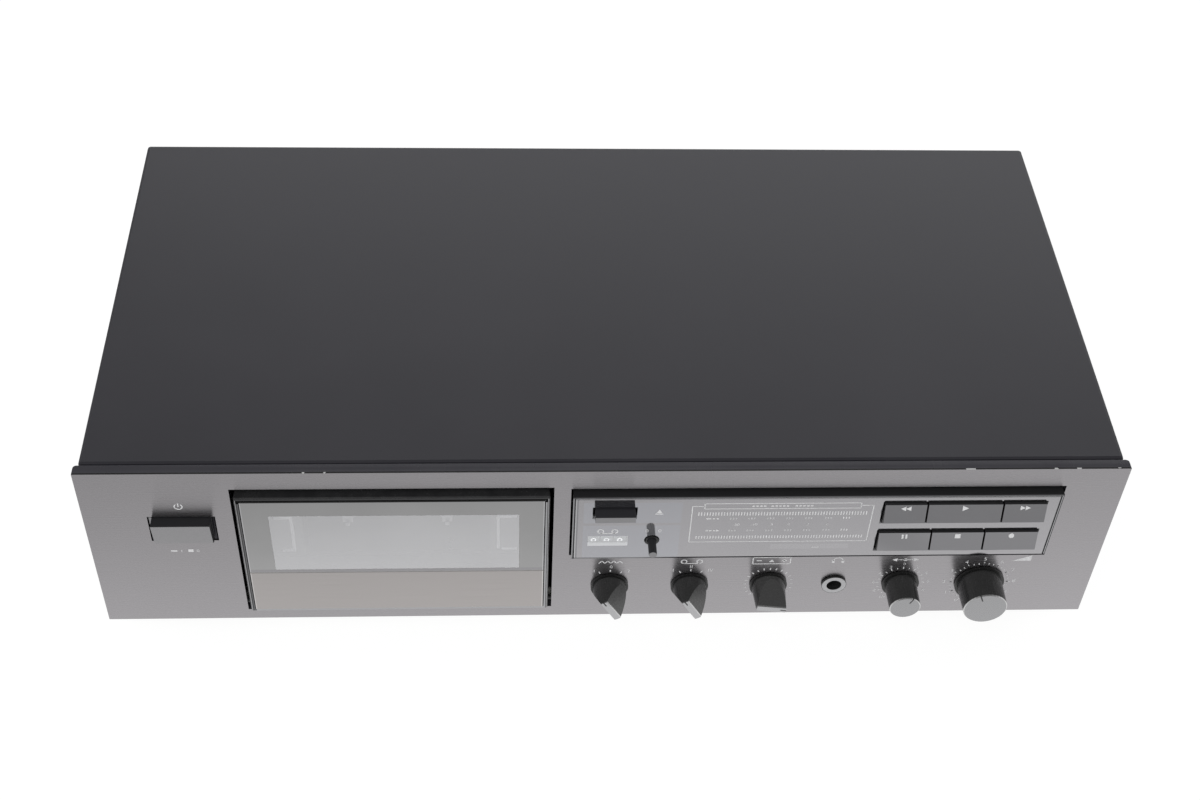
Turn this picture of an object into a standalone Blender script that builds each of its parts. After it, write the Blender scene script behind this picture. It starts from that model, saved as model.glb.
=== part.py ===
"""Cassette deck: a full-width hi-fi tape unit with a bottom-hinged door and a row of knobs.

Metres, +Z up, +X to the right of the front panel, front facing -Y.
Places are measured back from the front panel's face (Y) and up from its bottom edge (Z),
and the whole deck is then set down on its feet around the origin.
"""
import bpy
import bmesh
from math import acos, atan2, cos, hypot, pi, radians, sin
from mathutils import Matrix, Vector

# Shared clearances and drawing values
GAP = 0.0003            # between pieces that touch
CUT = 0.002             # how far a cutter runs past the face it cuts
MERGE = 0.00001         # welding distance
STEPS_FINE = 40
STEPS = 24
STEPS_SMALL = 12

# Case
PANEL_THICK = 0.005
PANEL_CORNER = 0.0014       # radius of the panel's rear corners, seen from above
PANEL_TOP_MARGIN = 0.0097   # panel above the door's opening
PANEL_LIFT = 0.014          # ground to the panel's bottom edge
BODY_DEPTH = 0.2138         # panel face to the cover's rear edge
COVER_STEP = 0.0015         # panel's ends beyond the cover's sides
COVER_THICK = 0.001
COVER_SEAM = 0.0006         # line between panel and cover
COVER_BEND = 0.0015
SHEET_THICK = 0.0012
FLOOR_RISE = 0.0015         # floor's underside above the panel's bottom edge
FLANGE_HEIGHT = 0.019
LIP_HEIGHT = 0.0105
REAR_INSET = 0.0015
SUBFRAME_THICK = 0.002
SUBFRAME_MARGIN = 0.007
FOOT_RADIUS = 0.020
FOOT_TAPER = 0.003
FOOT_INSET = 0.0422
FOOT_FRONT_Y = 0.034
FOOT_REAR_INSET = 0.0283

# Cassette, a standard size that the door is drawn round, and its holder
CASSETTE_WIDTH = 0.1004
CASSETTE_HEIGHT = 0.0638
CASSETTE_THICK = 0.012
CASSETTE_FRONT = 0.010
CASSETTE_LIFT = 0.0084      # cassette's tape edge above the door's bottom edge
CASSETTE_HEADROOM = 0.0031  # door's top edge above the cassette
CASSETTE_MARGIN = 0.0146    # door's side beyond the cassette's end
HUB_RISE = 0.0348           # hub line above the cassette's tape edge
HUB_SPACING = 0.0425
HOLDER_WALL = 0.0015
HOLDER_GRIP = 0.0105
HOLDER_DROP = 0.002         # holder's top below the cassette's top
HOLDER_WEB = 0.0194         # height of the web across the holder's foot
HOLDER_BOSS = 0.012
HOLDER_BOSS_SPACING = 0.080

# Cassette door
DOOR_BOTTOM = 0.0080
DOOR_PROUD = 0.0026
DOOR_REAR = 0.0046
DOOR_RIM = 0.0019
DOOR_SIDE_GAP = 0.0017
DOOR_TOP_GAP = 0.0028
PANE_PROUD = 0.0005
PANE_THICK = 0.0024
PLATE_HEIGHT = 0.0256
WINDOW_SIDE = 0.0128        # window's edge inside the door's side
WINDOW_RISE = 0.0023        # window above the lower plate
WINDOW_HEIGHT = 0.0349
HINGE_Y = 0.002
HINGE_RISE = 0.0025         # hinge axis above the door's bottom edge
HINGE_PIN_RADIUS = 0.0011
HINGE_PIN_BITE = 0.0011

# Transport mechanism
DECK_PLATE_Y = 0.025
DECK_PLATE_THICK = 0.0015
DECK_PLATE_DROP = 0.0078    # plate's top below the panel's top
SHAFT_RADIUS = 0.0015
SPINDLE_RADIUS = 0.0029
SPINDLE_TIP_Y = 0.0130
REEL_RADIUS = 0.0085
REEL_THICK = 0.002
REEL_SETBACK = 0.0014
COLLAR_RADIUS = 0.0028
COLLAR_THICK = 0.0016
CAPSTAN_RADIUS = 0.0012
CAPSTAN_X = 0.022           # right of the door's centre
CAPSTAN_RISE = 0.0065       # above the cassette's tape edge
CAPSTAN_TIP_Y = 0.0115
BEARING_RADIUS = 0.004
BEARING_LENGTH = 0.022
FLYWHEEL_RADIUS = 0.0175
FLYWHEEL_THICK = 0.008
MOTOR_RADIUS = 0.014
MOTOR_LENGTH = 0.020
MOTOR_X = -0.037            # left of the door's centre
MOTOR_Z = 0.022
MOTOR_BOSS_RADIUS = 0.004
MOTOR_BOSS = 0.0015
PULLEY_RADIUS = 0.004
PULLEY_SHAFT_RADIUS = 0.001
PULLEY_SHAFT_DEPTH = 0.002
BELT_THICK = 0.0008
BELT_WIDTH = 0.004
REEL_MOTOR_RADIUS = 0.011
REEL_MOTOR_LENGTH = 0.017
REEL_MOTOR_RISE = 0.0168
SOLENOID_WIDTH = 0.013
SOLENOID_HEIGHT = 0.012
SOLENOID_LENGTH = 0.019
SOLENOID_X = -0.0134
HEAD_WIDTH = 0.015
HEAD_HEIGHT = 0.0096
HEAD_FRONT = 0.011
HEAD_DROP = 0.0018          # head's top below the cassette's tape edge
HEAD_BASE_WIDTH = 0.040
HEAD_BASE_LEFT_SHARE = 0.6
HEAD_BASE_HEIGHT = 0.0093
HEAD_BASE_THICK = 0.0015
HEAD_BASE_DROP = 0.0029
ROLLER_RADIUS = 0.0055
ROLLER_THICK = 0.0072
ROLLER_FRONT = 0.0129
ROLLER_DROP = 0.001
AXLE_RADIUS = 0.001
ARM_LENGTH = 0.0156
ARM_THICK = 0.0018
ARM_WIDTH = 0.005
ARM_BOSS_RADIUS = 0.0033
PIVOT_RADIUS = 0.0015
PIVOT_DROP = 0.0004

# Control bezel, with what shows and moves in it placed from its left or right end and its bottom
BEZEL_DROP = 0.013          # bezel's top below the panel's top
BEZEL_SIDE_GAP = 0.0008
BEZEL_TOP_GAP = 0.0024
BEZEL_PROUD = 0.0028
BEZEL_RIM = 0.0008
BEZEL_WALL = 0.0016
BEZEL_FACE_WALL = 0.002
BEZEL_REAR = 0.0137
GLASS_PROUD = 0.0003
GLASS_THICK = 0.002
KEY_SLOT_INSET = 0.0063
KEY_SLOT_WIDTH = 0.0697
KEY_SLOT_HEIGHT = 0.0138
KEY_SLOT_RISE = 0.0043
KEY_ROW_GAP = 0.0044
KEY_SLOT_DROP = 0.0036
KEY_GAP = 0.0007
KEY_MARGIN = 0.0005
KEY_FACE_TOP_PROUD = 0.0013
KEY_FACE_LOW_PROUD = 0.0034
KEY_CHIN = 0.0034
KEY_LENGTH = 0.013          # from the glass face to its rear end
KEY_TRAVEL = 0.0015
KEY_SWITCH = 0.006
KEY_REWIND_WIDTH = 0.0177
KEY_PLAY_WIDTH = 0.0315
KEY_PAUSE_WIDTH = 0.0222
KEY_STOP_WIDTH = 0.0223
METER_INSET = 0.0508
METER_WIDTH = 0.074
METER_RISE = 0.0121
METER_HEIGHT = 0.021
METER_MARGIN = 0.0007
METER_KEY_GAP = 0.0052
EJECT_INSET = 0.0092
EJECT_WIDTH = 0.0168
EJECT_RISE = 0.0275
EJECT_HEIGHT = 0.0056
EJECT_CHIN = 0.0023
EJECT_PROUD = 0.0049
EJECT_LENGTH = 0.012
EJECT_GAP = 0.0008
COUNTER_INSET = 0.0150
COUNTER_RISE = 0.0109
WHEEL_RADIUS = 0.0052
WHEEL_WIDTH = 0.0050
WHEEL_GAP = 0.0006
WHEEL_AXLE_RADIUS = 0.0009
COUNTER_CHEEK = 0.001
COUNTER_BACK_THICK = 0.0012
COUNTER_BACK_TOP = 0.010
COUNTER_WINDOW_MARGIN = 0.0006
RESET_INSET = 0.03395
RESET_RISE = 0.01255
RESET_RADIUS = 0.0018
RESET_PROUD = 0.0081
RESET_LENGTH = 0.012
RESET_SLEEVE_WALL = 0.0008
SLEEVE_SIDES = 6
BOARD_THICK = 0.0016
BOARD_INSET = 0.0428
BOARD_MARGIN = 0.0012

# Spaces across the panel, from its left end to its right end
POWER_INSET = 0.0262
POWER_DOOR_SPACE = 0.0090
DOOR_BEZEL_SPACE = 0.0095
BEZEL_INSET = 0.0258

# Power button
POWER_WIDTH = 0.0243
POWER_BOTTOM = 0.0545
POWER_HEIGHT = 0.0142
POWER_TOP_PROUD = 0.0050
POWER_LOW_PROUD = 0.0032
POWER_CHIN = 0.0016
POWER_REAR = 0.0072
POWER_SIDE_PLAY = 0.0018
POWER_FLANGE_PLAY = 0.0005  # between the button's flange and its slot's ends
POWER_FLANGE_SINK = 0.0003
POWER_FLANGE_THICK = 0.002
POWER_SLOT_MARGIN = 0.0006
POWER_TRAVEL = 0.004
POWER_SWITCH_WIDTH = 0.016
POWER_SWITCH_LENGTH = 0.026

# Knobs, headphone jack and what stands behind them, each spaced from the one on its left
KNOB_Z = 0.021
NR_INSET = 0.0175           # from the bezel's left end
TAPE_SPACE = 0.0352
BIAS_SPACE = 0.0349
JACK_SPACE = 0.0292
BALANCE_SPACE = 0.0297
LEVEL_SPACE = 0.0354
SKIRT_RADIUS = 0.00825
SKIRT_THICK = 0.0013
KNOB_REACH = 0.0143
BLADE_BASE_RADIUS = 0.0074
BLADE_TIP_RADIUS = 0.0065
BLADE_WIDTH = 0.0028
BLADE_ROOT_SHARE = 0.20     # how far out the flanks start, as a share of the reach
SELECTOR_TURN = radians(-30)
BIAS_TURN = radians(98)
BALANCE_RADIUS = 0.0070
LEVEL_SKIRT_RADIUS = 0.0110
LEVEL_RADIUS = 0.0098
LEVEL_REACH = 0.0152
KNOB_EDGE = 0.0004
KNOB_DRAFT = 0.0002
STEM_RADIUS = 0.0029
STEM_DEPTH = 0.0020         # how far the stem enters the control behind
STEM_HOLE_PLAY = 0.0007
CONTROL_SIZE = 0.016
POT_LENGTH = 0.009
SWITCH_LENGTH = 0.014
SWITCH_SIZE = 0.0145
JACK_COLLAR_RADIUS = 0.0055
JACK_COLLAR_PROUD = 0.0013
JACK_BARREL_WALL = 0.0015
JACK_BORE_RADIUS = 0.0032
JACK_BODY = 0.0125
JACK_LENGTH = 0.0205
JACK_BORE_DEPTH = 0.024

# Electronics and rear panel, placed from the rear corners of the case
TRANSFORMER_INSET = 0.0152
TRANSFORMER_REAR_SPACE = 0.0361
TRANSFORMER_WIDTH = 0.054
TRANSFORMER_CORE = 0.030
TRANSFORMER_HEIGHT = 0.046
WINDING_SIDE = 0.010        # core beyond the winding at each end
WINDING_PROUD = 0.010       # winding beyond the core, front and rear
WINDING_HEIGHT = 0.030
MAIN_BOARD_INSET = 0.0142
MAIN_BOARD_REAR_SPACE = 0.0091
MAIN_BOARD_WIDTH = 0.220
MAIN_BOARD_DEPTH = 0.136
MAIN_BOARD_RISE = 0.0065    # above the chassis floor
STANDOFF_RADIUS = 0.0035
STANDOFF_INSET = 0.009
CAPACITOR_INSET = 0.028
CAPACITOR_REAR_INSET = 0.052
CAPACITOR_RADIUS = 0.011
CAPACITOR_HEIGHT = 0.034
LINE_INSET = 0.054
LINE_BLOCK_WIDTH = 0.054
LINE_BLOCK_HEIGHT = 0.036
LINE_BLOCK_DEPTH = 0.015
LINE_SPACING_X = 0.028
LINE_SPACING_Z = 0.016
LINE_LOW_RISE = 0.010
LINE_RADIUS = 0.0047
LINE_BORE_RADIUS = 0.0017
LINE_BORE_DEPTH = 0.009
REAR_REACH = 0.0092         # jacks and gland behind the rear panel's face
GLAND_INSET = 0.0492
GLAND_Z = 0.024
GLAND_WALL = 0.0027
GLAND_FLANGE_REACH = 0.0025
GLAND_FLANGE = 0.0024
GLAND_INSIDE = 0.006
GLAND_BORE_RADIUS = 0.0033

# Sizes and places across the front, worked out from the values above
DOOR_WIDTH = CASSETTE_WIDTH + 2 * CASSETTE_MARGIN
BEZEL_WIDTH = METER_INSET + METER_WIDTH + METER_KEY_GAP + KEY_SLOT_WIDTH + KEY_SLOT_INSET
POWER_SLOT_WIDTH = POWER_WIDTH + 2 * POWER_SIDE_PLAY
PANEL_WIDTH = (POWER_INSET + POWER_SLOT_WIDTH + POWER_DOOR_SPACE + DOOR_WIDTH
               + DOOR_BEZEL_SPACE + BEZEL_WIDTH + BEZEL_INSET)
HALF_PANEL = PANEL_WIDTH / 2
COVER_WIDTH = PANEL_WIDTH - 2 * COVER_STEP
CASE_HALF = COVER_WIDTH / 2 - COVER_THICK - GAP
POWER_SLOT_LEFT = -HALF_PANEL + POWER_INSET
POWER_LEFT = POWER_SLOT_LEFT + POWER_SIDE_PLAY
DOOR_LEFT = POWER_SLOT_LEFT + POWER_SLOT_WIDTH + POWER_DOOR_SPACE
DOOR_RIGHT = DOOR_LEFT + DOOR_WIDTH
DOOR_CENTRE_X = (DOOR_LEFT + DOOR_RIGHT) / 2
BEZEL_LEFT = DOOR_RIGHT + DOOR_BEZEL_SPACE
BEZEL_RIGHT = BEZEL_LEFT + BEZEL_WIDTH
KEY_SLOT_RIGHT = BEZEL_RIGHT - KEY_SLOT_INSET
KEY_SLOT_LEFT = KEY_SLOT_RIGHT - KEY_SLOT_WIDTH
METER_LEFT = BEZEL_LEFT + METER_INSET
METER_RIGHT = METER_LEFT + METER_WIDTH
EJECT_LEFT = BEZEL_LEFT + EJECT_INSET
COUNTER_X = BEZEL_LEFT + COUNTER_INSET
RESET_X = BEZEL_LEFT + RESET_INSET
BOARD_LEFT = BEZEL_LEFT + BOARD_INSET
NR_X = BEZEL_LEFT + NR_INSET
TAPE_X = NR_X + TAPE_SPACE
BIAS_X = TAPE_X + BIAS_SPACE
JACK_X = BIAS_X + JACK_SPACE
BALANCE_X = JACK_X + BALANCE_SPACE
LEVEL_X = BALANCE_X + LEVEL_SPACE
FOOT_X = CASE_HALF - FOOT_INSET
TRANSFORMER_X = -CASE_HALF + TRANSFORMER_INSET + TRANSFORMER_WIDTH / 2
MAIN_BOARD_RIGHT = CASE_HALF - MAIN_BOARD_INSET
MAIN_BOARD_LEFT = MAIN_BOARD_RIGHT - MAIN_BOARD_WIDTH
CAPACITOR_X = MAIN_BOARD_LEFT + CAPACITOR_INSET
LINE_X = MAIN_BOARD_RIGHT - LINE_INSET
GLAND_X = -CASE_HALF + GLAND_INSET

# Heights, worked out from the values above
DOOR_TOP = DOOR_BOTTOM + CASSETTE_LIFT + CASSETTE_HEIGHT + CASSETTE_HEADROOM
PANEL_HEIGHT = DOOR_TOP + DOOR_TOP_GAP + PANEL_TOP_MARGIN
FLOOR_TOP = FLOOR_RISE + SHEET_THICK
CASE_TOP = PANEL_HEIGHT - COVER_THICK - GAP
HINGE_Z = DOOR_BOTTOM + HINGE_RISE
PLATE_TOP = DOOR_BOTTOM + DOOR_RIM + PLATE_HEIGHT
WINDOW_BOTTOM = PLATE_TOP + WINDOW_RISE
WINDOW_TOP = WINDOW_BOTTOM + WINDOW_HEIGHT
CASSETTE_BOTTOM = DOOR_BOTTOM + CASSETTE_LIFT
CASSETTE_TOP = CASSETTE_BOTTOM + CASSETTE_HEIGHT
HUB_Z = CASSETTE_BOTTOM + HUB_RISE
HOLDER_WEB_TOP = CASSETTE_BOTTOM - GAP - HOLDER_WALL + HOLDER_WEB
CAPSTAN_AT_Z = CASSETTE_BOTTOM + CAPSTAN_RISE
ROLLER_Z = CASSETTE_BOTTOM - ROLLER_DROP - ROLLER_RADIUS
PIVOT_Z = ROLLER_Z - PIVOT_DROP
BEZEL_TOP = PANEL_HEIGHT - BEZEL_DROP
BEZEL_BOTTOM = BEZEL_TOP - KEY_SLOT_RISE - 2 * KEY_SLOT_HEIGHT - KEY_ROW_GAP - KEY_SLOT_DROP
KEY_LOW_ROW_Z = BEZEL_BOTTOM + KEY_SLOT_RISE
KEY_TOP_ROW_Z = KEY_LOW_ROW_Z + KEY_SLOT_HEIGHT + KEY_ROW_GAP
METER_BOTTOM = BEZEL_BOTTOM + METER_RISE
METER_TOP = METER_BOTTOM + METER_HEIGHT
EJECT_BOTTOM = BEZEL_BOTTOM + EJECT_RISE
COUNTER_Z = BEZEL_BOTTOM + COUNTER_RISE
RESET_Z = BEZEL_BOTTOM + RESET_RISE
MAIN_BOARD_Z = FLOOR_TOP + MAIN_BOARD_RISE
MAIN_BOARD_TOP = MAIN_BOARD_Z + BOARD_THICK

# Depths and other places, worked out from the values above
REAR_FACE = BODY_DEPTH - REAR_INSET
REAR_INNER = REAR_FACE - SHEET_THICK
REAR_END = REAR_FACE + REAR_REACH
FOOT_REAR_Y = REAR_FACE - FOOT_REAR_INSET
SUBFRAME_Y = PANEL_THICK + GAP
SUBFRAME_REAR = SUBFRAME_Y + SUBFRAME_THICK
CONTROL_Y = SUBFRAME_REAR + GAP
PANE_REAR = -DOOR_PROUD - PANE_PROUD + PANE_THICK
PANE_SEAT = PANE_REAR + GAP
CASSETTE_REAR = CASSETTE_FRONT + CASSETTE_THICK
DECK_PLATE_REAR = DECK_PLATE_Y + DECK_PLATE_THICK
DECK_PLATE_TOP = PANEL_HEIGHT - DECK_PLATE_DROP
BEHIND_PLATE = DECK_PLATE_REAR + GAP
CAPSTAN_AT_X = DOOR_CENTRE_X + CAPSTAN_X
FLYWHEEL_Y = DECK_PLATE_REAR + BEARING_LENGTH + GAP
BELT_Y = FLYWHEEL_Y + FLYWHEEL_THICK / 2
MOTOR_AT_X = DOOR_CENTRE_X + MOTOR_X
PIVOT_X = CAPSTAN_AT_X + ARM_LENGTH
ARM_Y = ROLLER_FRONT + ROLLER_THICK + GAP
GLASS_FACE = -BEZEL_PROUD - GLASS_PROUD
GLASS_REAR = GLASS_FACE + GLASS_THICK
GLASS_SEAT = GLASS_REAR + GAP
BEZEL_FACE_REAR = GLASS_SEAT + BEZEL_FACE_WALL
BOARD_Y = BEZEL_REAR + GAP
KEY_REAR = GLASS_FACE + KEY_LENGTH
WHEEL_Y = GLASS_SEAT + WHEEL_RADIUS
WHEEL_PITCH = WHEEL_WIDTH + WHEEL_GAP
RESET_SLEEVE_RADIUS = RESET_RADIUS + GAP + RESET_SLEEVE_WALL
POWER_SWITCH_Y = POWER_REAR + POWER_TRAVEL + GAP
JACK_BARREL_RADIUS = JACK_BORE_RADIUS + JACK_BARREL_WALL
GLAND_RADIUS = GLAND_BORE_RADIUS + GLAND_WALL
TRANSFORMER_Y = REAR_INNER - TRANSFORMER_REAR_SPACE - WINDING_PROUD - TRANSFORMER_CORE / 2
MAIN_BOARD_REAR = REAR_INNER - MAIN_BOARD_REAR_SPACE
MAIN_BOARD_FRONT = MAIN_BOARD_REAR - MAIN_BOARD_DEPTH
CAPACITOR_Y = MAIN_BOARD_REAR - CAPACITOR_REAR_INSET
MID_Y = (REAR_END - LEVEL_REACH) / 2

DECK_SHIFT = Vector((0, -MID_Y, PANEL_LIFT))
ACROSS = Matrix.Rotation(pi / 2, 4, "Y")
FRONTWARD = Matrix.Rotation(pi / 2, 4, "X")


def clear_scene():
    """Remove whatever the scene holds, then make the two collections."""
    for old in list(bpy.data.objects):
        bpy.data.objects.remove(old, do_unlink=True)
    for name in ("cassette_deck", "cutters"):
        bpy.context.scene.collection.children.link(bpy.data.collections.new(name))


def add_object(name, mesh, group="cassette_deck"):
    """Link a mesh as an object of the part, or as a hidden helper of the cutters."""
    obj = bpy.data.objects.new(name, mesh)
    bpy.data.collections[group].objects.link(obj)
    if group == "cutters":
        obj.hide_render = True
        obj.display_type = "WIRE"
    return obj


def mesh_from(bm, name):
    mesh = bpy.data.meshes.new(name)
    bm.normal_update()
    bm.to_mesh(mesh)
    bm.free()
    return mesh


def box(name, xs, ys, zs, group="cassette_deck"):
    """A block between two corners, given as pairs along X, Y and Z."""
    bm = bmesh.new()
    bmesh.ops.create_cube(bm, size=1)
    size = Vector((xs[1] - xs[0], ys[1] - ys[0], zs[1] - zs[0]))
    middle = Vector((xs[1] + xs[0], ys[1] + ys[0], zs[1] + zs[0])) / 2
    bmesh.ops.scale(bm, vec=size, verts=bm.verts)
    bmesh.ops.translate(bm, vec=middle + DECK_SHIFT, verts=bm.verts)
    return add_object(name, mesh_from(bm, name), group)


def cylinder(name, centre, radius, span, axis="Y", steps=STEPS, group="cassette_deck", tip=None):
    """A round bar along one axis: centre gives the two other places, span its two ends."""
    bm = bmesh.new()
    end = radius if tip is None else tip
    bmesh.ops.create_cone(bm, cap_ends=True, segments=steps, radius1=end, radius2=radius,
                          depth=span[1] - span[0])
    half = (span[0] + span[1]) / 2
    turn = {"X": ACROSS, "Y": FRONTWARD.inverted(), "Z": Matrix.Identity(4)}[axis]
    place = {"X": (half, centre[0], centre[1]), "Y": (centre[0], half, centre[1]),
             "Z": (centre[0], centre[1], half)}[axis]
    bmesh.ops.transform(bm, matrix=turn, verts=bm.verts)
    bmesh.ops.translate(bm, vec=Vector(place) + DECK_SHIFT, verts=bm.verts)
    obj = add_object(name, mesh_from(bm, name), group)
    obj.data.shade_smooth()
    obj.data.set_sharp_from_angle(angle=radians(40))
    return obj


def outline_solid(name, loops, thickness, matrix, group="cassette_deck"):
    """A flat outline with any holes, thickened evenly about its plane and welded."""
    curve = bpy.data.curves.new(name, "CURVE")
    curve.dimensions = "2D"
    curve.fill_mode = "BOTH"
    curve.extrude = thickness / 2
    for loop in loops:
        spline = curve.splines.new("POLY")
        spline.points.add(len(loop) - 1)
        for point, (u, v) in zip(spline.points, loop):
            point.co = (u, v, 0, 1)
        spline.use_cyclic_u = True
    guide = bpy.data.objects.new(name + "_outline", curve)
    bpy.data.collections["cutters"].objects.link(guide)
    depsgraph = bpy.context.evaluated_depsgraph_get()
    mesh = bpy.data.meshes.new_from_object(guide.evaluated_get(depsgraph))
    bpy.data.objects.remove(guide, do_unlink=True)
    bm = bmesh.new()
    bm.from_mesh(mesh)
    bmesh.ops.remove_doubles(bm, verts=bm.verts, dist=MERGE)
    bmesh.ops.transform(bm, matrix=matrix, verts=bm.verts)
    bmesh.ops.translate(bm, vec=DECK_SHIFT, verts=bm.verts)
    bmesh.ops.recalc_face_normals(bm, faces=bm.faces)
    return add_object(name, mesh_from(bm, name), group)


def side_profile(name, points, xs):
    """A solid of constant section: points are (Y, Z) pairs and xs its two ends."""
    middle = (xs[0] + xs[1]) / 2
    frame = Matrix(((0, 0, 1, middle), (1, 0, 0, 0), (0, 1, 0, 0), (0, 0, 0, 1)))
    return outline_solid(name, [points], xs[1] - xs[0], frame)


def turned(name, profile, centre, front, steps=STEPS):
    """A shape turned about a line towards -Y: profile holds (radius, distance back from front)."""
    mesh = bpy.data.meshes.new(name)
    points = [(radius, 0, -back) for radius, back in profile]
    mesh.from_pydata(points, [(i, i + 1) for i in range(len(points) - 1)], [])
    obj = add_object(name, mesh)
    obj.location = Vector((centre[0], front, centre[1])) + DECK_SHIFT
    obj.rotation_euler = (pi / 2, 0, 0)
    screw = obj.modifiers.new("turn", "SCREW")
    screw.steps = steps
    screw.render_steps = steps
    screw.use_merge_vertices = True
    screw.merge_threshold = MERGE
    screw.use_smooth_shade = True
    return obj


def boolean(target, operation, tools):
    for tool in tools:
        modifier = target.modifiers.new(operation.lower(), "BOOLEAN")
        modifier.operation = operation
        modifier.object = tool
    return target


def cut(target, *tools):
    return boolean(target, "DIFFERENCE", tools)


def join(target, *tools):
    return boolean(target, "UNION", tools)


def cut_box(name, xs, ys, zs):
    return box(name + "_cut", xs, ys, zs, "cutters")


def cut_round(name, centre, radius, span, axis="Y", steps=STEPS):
    return cylinder(name + "_cut", centre, radius, span, axis, steps, "cutters")


def add_box(name, xs, ys, zs):
    return box(name + "_add", xs, ys, zs, "cutters")


def add_round(name, centre, radius, span, axis="Y", steps=STEPS, tip=None):
    return cylinder(name + "_add", centre, radius, span, axis, steps, "cutters", tip)


def set_origin(obj, x, y, z):
    """Put an unrotated object's origin on its joint axis, leaving the solid where it is."""
    spot = Vector((x, y, z)) + DECK_SHIFT
    obj.data.transform(Matrix.Translation(-spot))
    obj.location = spot
    return obj


def round_edges(obj, width, segments=1):
    bevel = obj.modifiers.new("edges", "BEVEL")
    bevel.width = width
    bevel.segments = segments
    bevel.limit_method = "ANGLE"
    return obj


def finish(obj, colour, roughness, metallic=0.0, alpha=1.0):
    """Give an object its own material: linear colour, roughness and metallic value."""
    material = bpy.data.materials.new(obj.name + "_finish")
    material.use_nodes = True
    shader = material.node_tree.nodes["Principled BSDF"]
    shader.inputs["Base Color"].default_value = (*colour, 1)
    shader.inputs["Roughness"].default_value = roughness
    shader.inputs["Metallic"].default_value = metallic
    shader.inputs["Alpha"].default_value = alpha
    obj.data.materials.clear()
    obj.data.materials.append(material)
    return obj


BLACK_PAINT = ((0.048, 0.048, 0.056), 0.5)
BLACK_PLASTIC = ((0.020, 0.020, 0.022), 0.45)
GREY_METAL = ((0.34, 0.34, 0.35), 0.35, 0.9)
GLOSS = ((0.36, 0.36, 0.375), 0.12, 0.9)
WINDOW = ((0.45, 0.45, 0.47), 0.15, 0.8, 0.85)
KEY_GREY = ((0.18, 0.18, 0.19), 0.35, 0.3)
STEEL = ((0.55, 0.55, 0.54), 0.35, 1.0)
BRASS = ((0.75, 0.58, 0.30), 0.3, 1.0)
RUBBER = ((0.03, 0.03, 0.03), 0.8)
BOARD_GREEN = ((0.25, 0.33, 0.16), 0.6)
CREAM = ((0.75, 0.74, 0.70), 0.5)


def make_case():
    """Floor pan, rear panel, cover, front panel, subframe and feet."""
    half, front = CASE_HALF, PANEL_THICK + GAP
    pan = box("base_chassis", (-half, half), (front, REAR_INNER - GAP),
              (FLOOR_RISE, FLOOR_TOP + FLANGE_HEIGHT))
    inner = half - SHEET_THICK
    cut(pan, cut_box("pan_well", (-inner, inner), (front + SHEET_THICK, REAR_INNER + CUT),
                     (FLOOR_TOP, FLOOR_TOP + FLANGE_HEIGHT + CUT)),
        cut_box("pan_lip", (-inner, inner), (front - CUT, front + SHEET_THICK + CUT),
                (FLOOR_TOP + LIP_HEIGHT, FLOOR_TOP + FLANGE_HEIGHT + CUT)))
    finish(pan, *STEEL)

    rear = box("rear_panel", (-half, half), (REAR_INNER, REAR_FACE), (FLOOR_RISE, CASE_TOP))
    span = (REAR_INNER - CUT, REAR_FACE + CUT)
    for i, centre in enumerate(line_jacks()):
        cut(rear, cut_round("line_hole_%d" % i, centre, LINE_RADIUS + GAP, span))
    cut(rear, cut_round("gland_hole", (GLAND_X, GLAND_Z), GLAND_RADIUS + GAP, span))
    finish(rear, *BLACK_PAINT)

    outer, top = COVER_WIDTH / 2, PANEL_HEIGHT
    start = PANEL_THICK + COVER_SEAM
    cover = box("top_cover", (-outer, outer), (start, BODY_DEPTH), (FLOOR_RISE, top))
    round_edges(cover, COVER_BEND, 2)
    inner = outer - COVER_THICK
    cut(cover, cut_box("cover_hollow", (-inner, inner), (start - CUT, BODY_DEPTH + CUT),
                       (FLOOR_RISE - CUT, top - COVER_THICK)))
    finish(cover, *BLACK_PAINT)
    make_front_panel()

    width = half - SUBFRAME_MARGIN
    bottom = FLOOR_TOP + LIP_HEIGHT + GAP
    subframe = box("front_subframe", (-width, width), (SUBFRAME_Y, SUBFRAME_REAR),
                   (bottom, CASE_TOP))
    through = (SUBFRAME_Y - CUT, SUBFRAME_REAR + CUT)
    side, over = DOOR_SIDE_GAP * 2, (PANEL_HEIGHT - DOOR_TOP) / 2
    cut(subframe, cut_box("subframe_door", (DOOR_LEFT - side, DOOR_RIGHT + side), through,
                          (bottom - CUT, DOOR_TOP + over)),
        cut_box("subframe_bezel", *bezel_opening(through)),
        cut_box("subframe_power", *power_slot(POWER_SLOT_MARGIN, through)),
        *stem_holes("subframe_stem", STEM_HOLE_PLAY * 2, through),
        cut_round("subframe_jack", (JACK_X, KNOB_Z), JACK_BARREL_RADIUS + GAP, through))
    finish(subframe, *STEEL)

    for side_name, x in (("left", -FOOT_X), ("right", FOOT_X)):
        for end_name, y in (("front", FOOT_FRONT_Y), ("rear", FOOT_REAR_Y)):
            foot = cylinder("foot_%s_%s" % (end_name, side_name), (x, y), FOOT_RADIUS,
                            (-PANEL_LIFT, FLOOR_RISE - GAP), "Z", STEPS, tip=FOOT_RADIUS - FOOT_TAPER)
            finish(foot, *RUBBER)


def bezel_opening(ys):
    """The opening that the control bezel stands in, as three pairs."""
    return ((BEZEL_LEFT - BEZEL_SIDE_GAP, BEZEL_RIGHT + BEZEL_SIDE_GAP), ys,
            (BEZEL_BOTTOM - BEZEL_SIDE_GAP, BEZEL_TOP + BEZEL_TOP_GAP))


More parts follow.
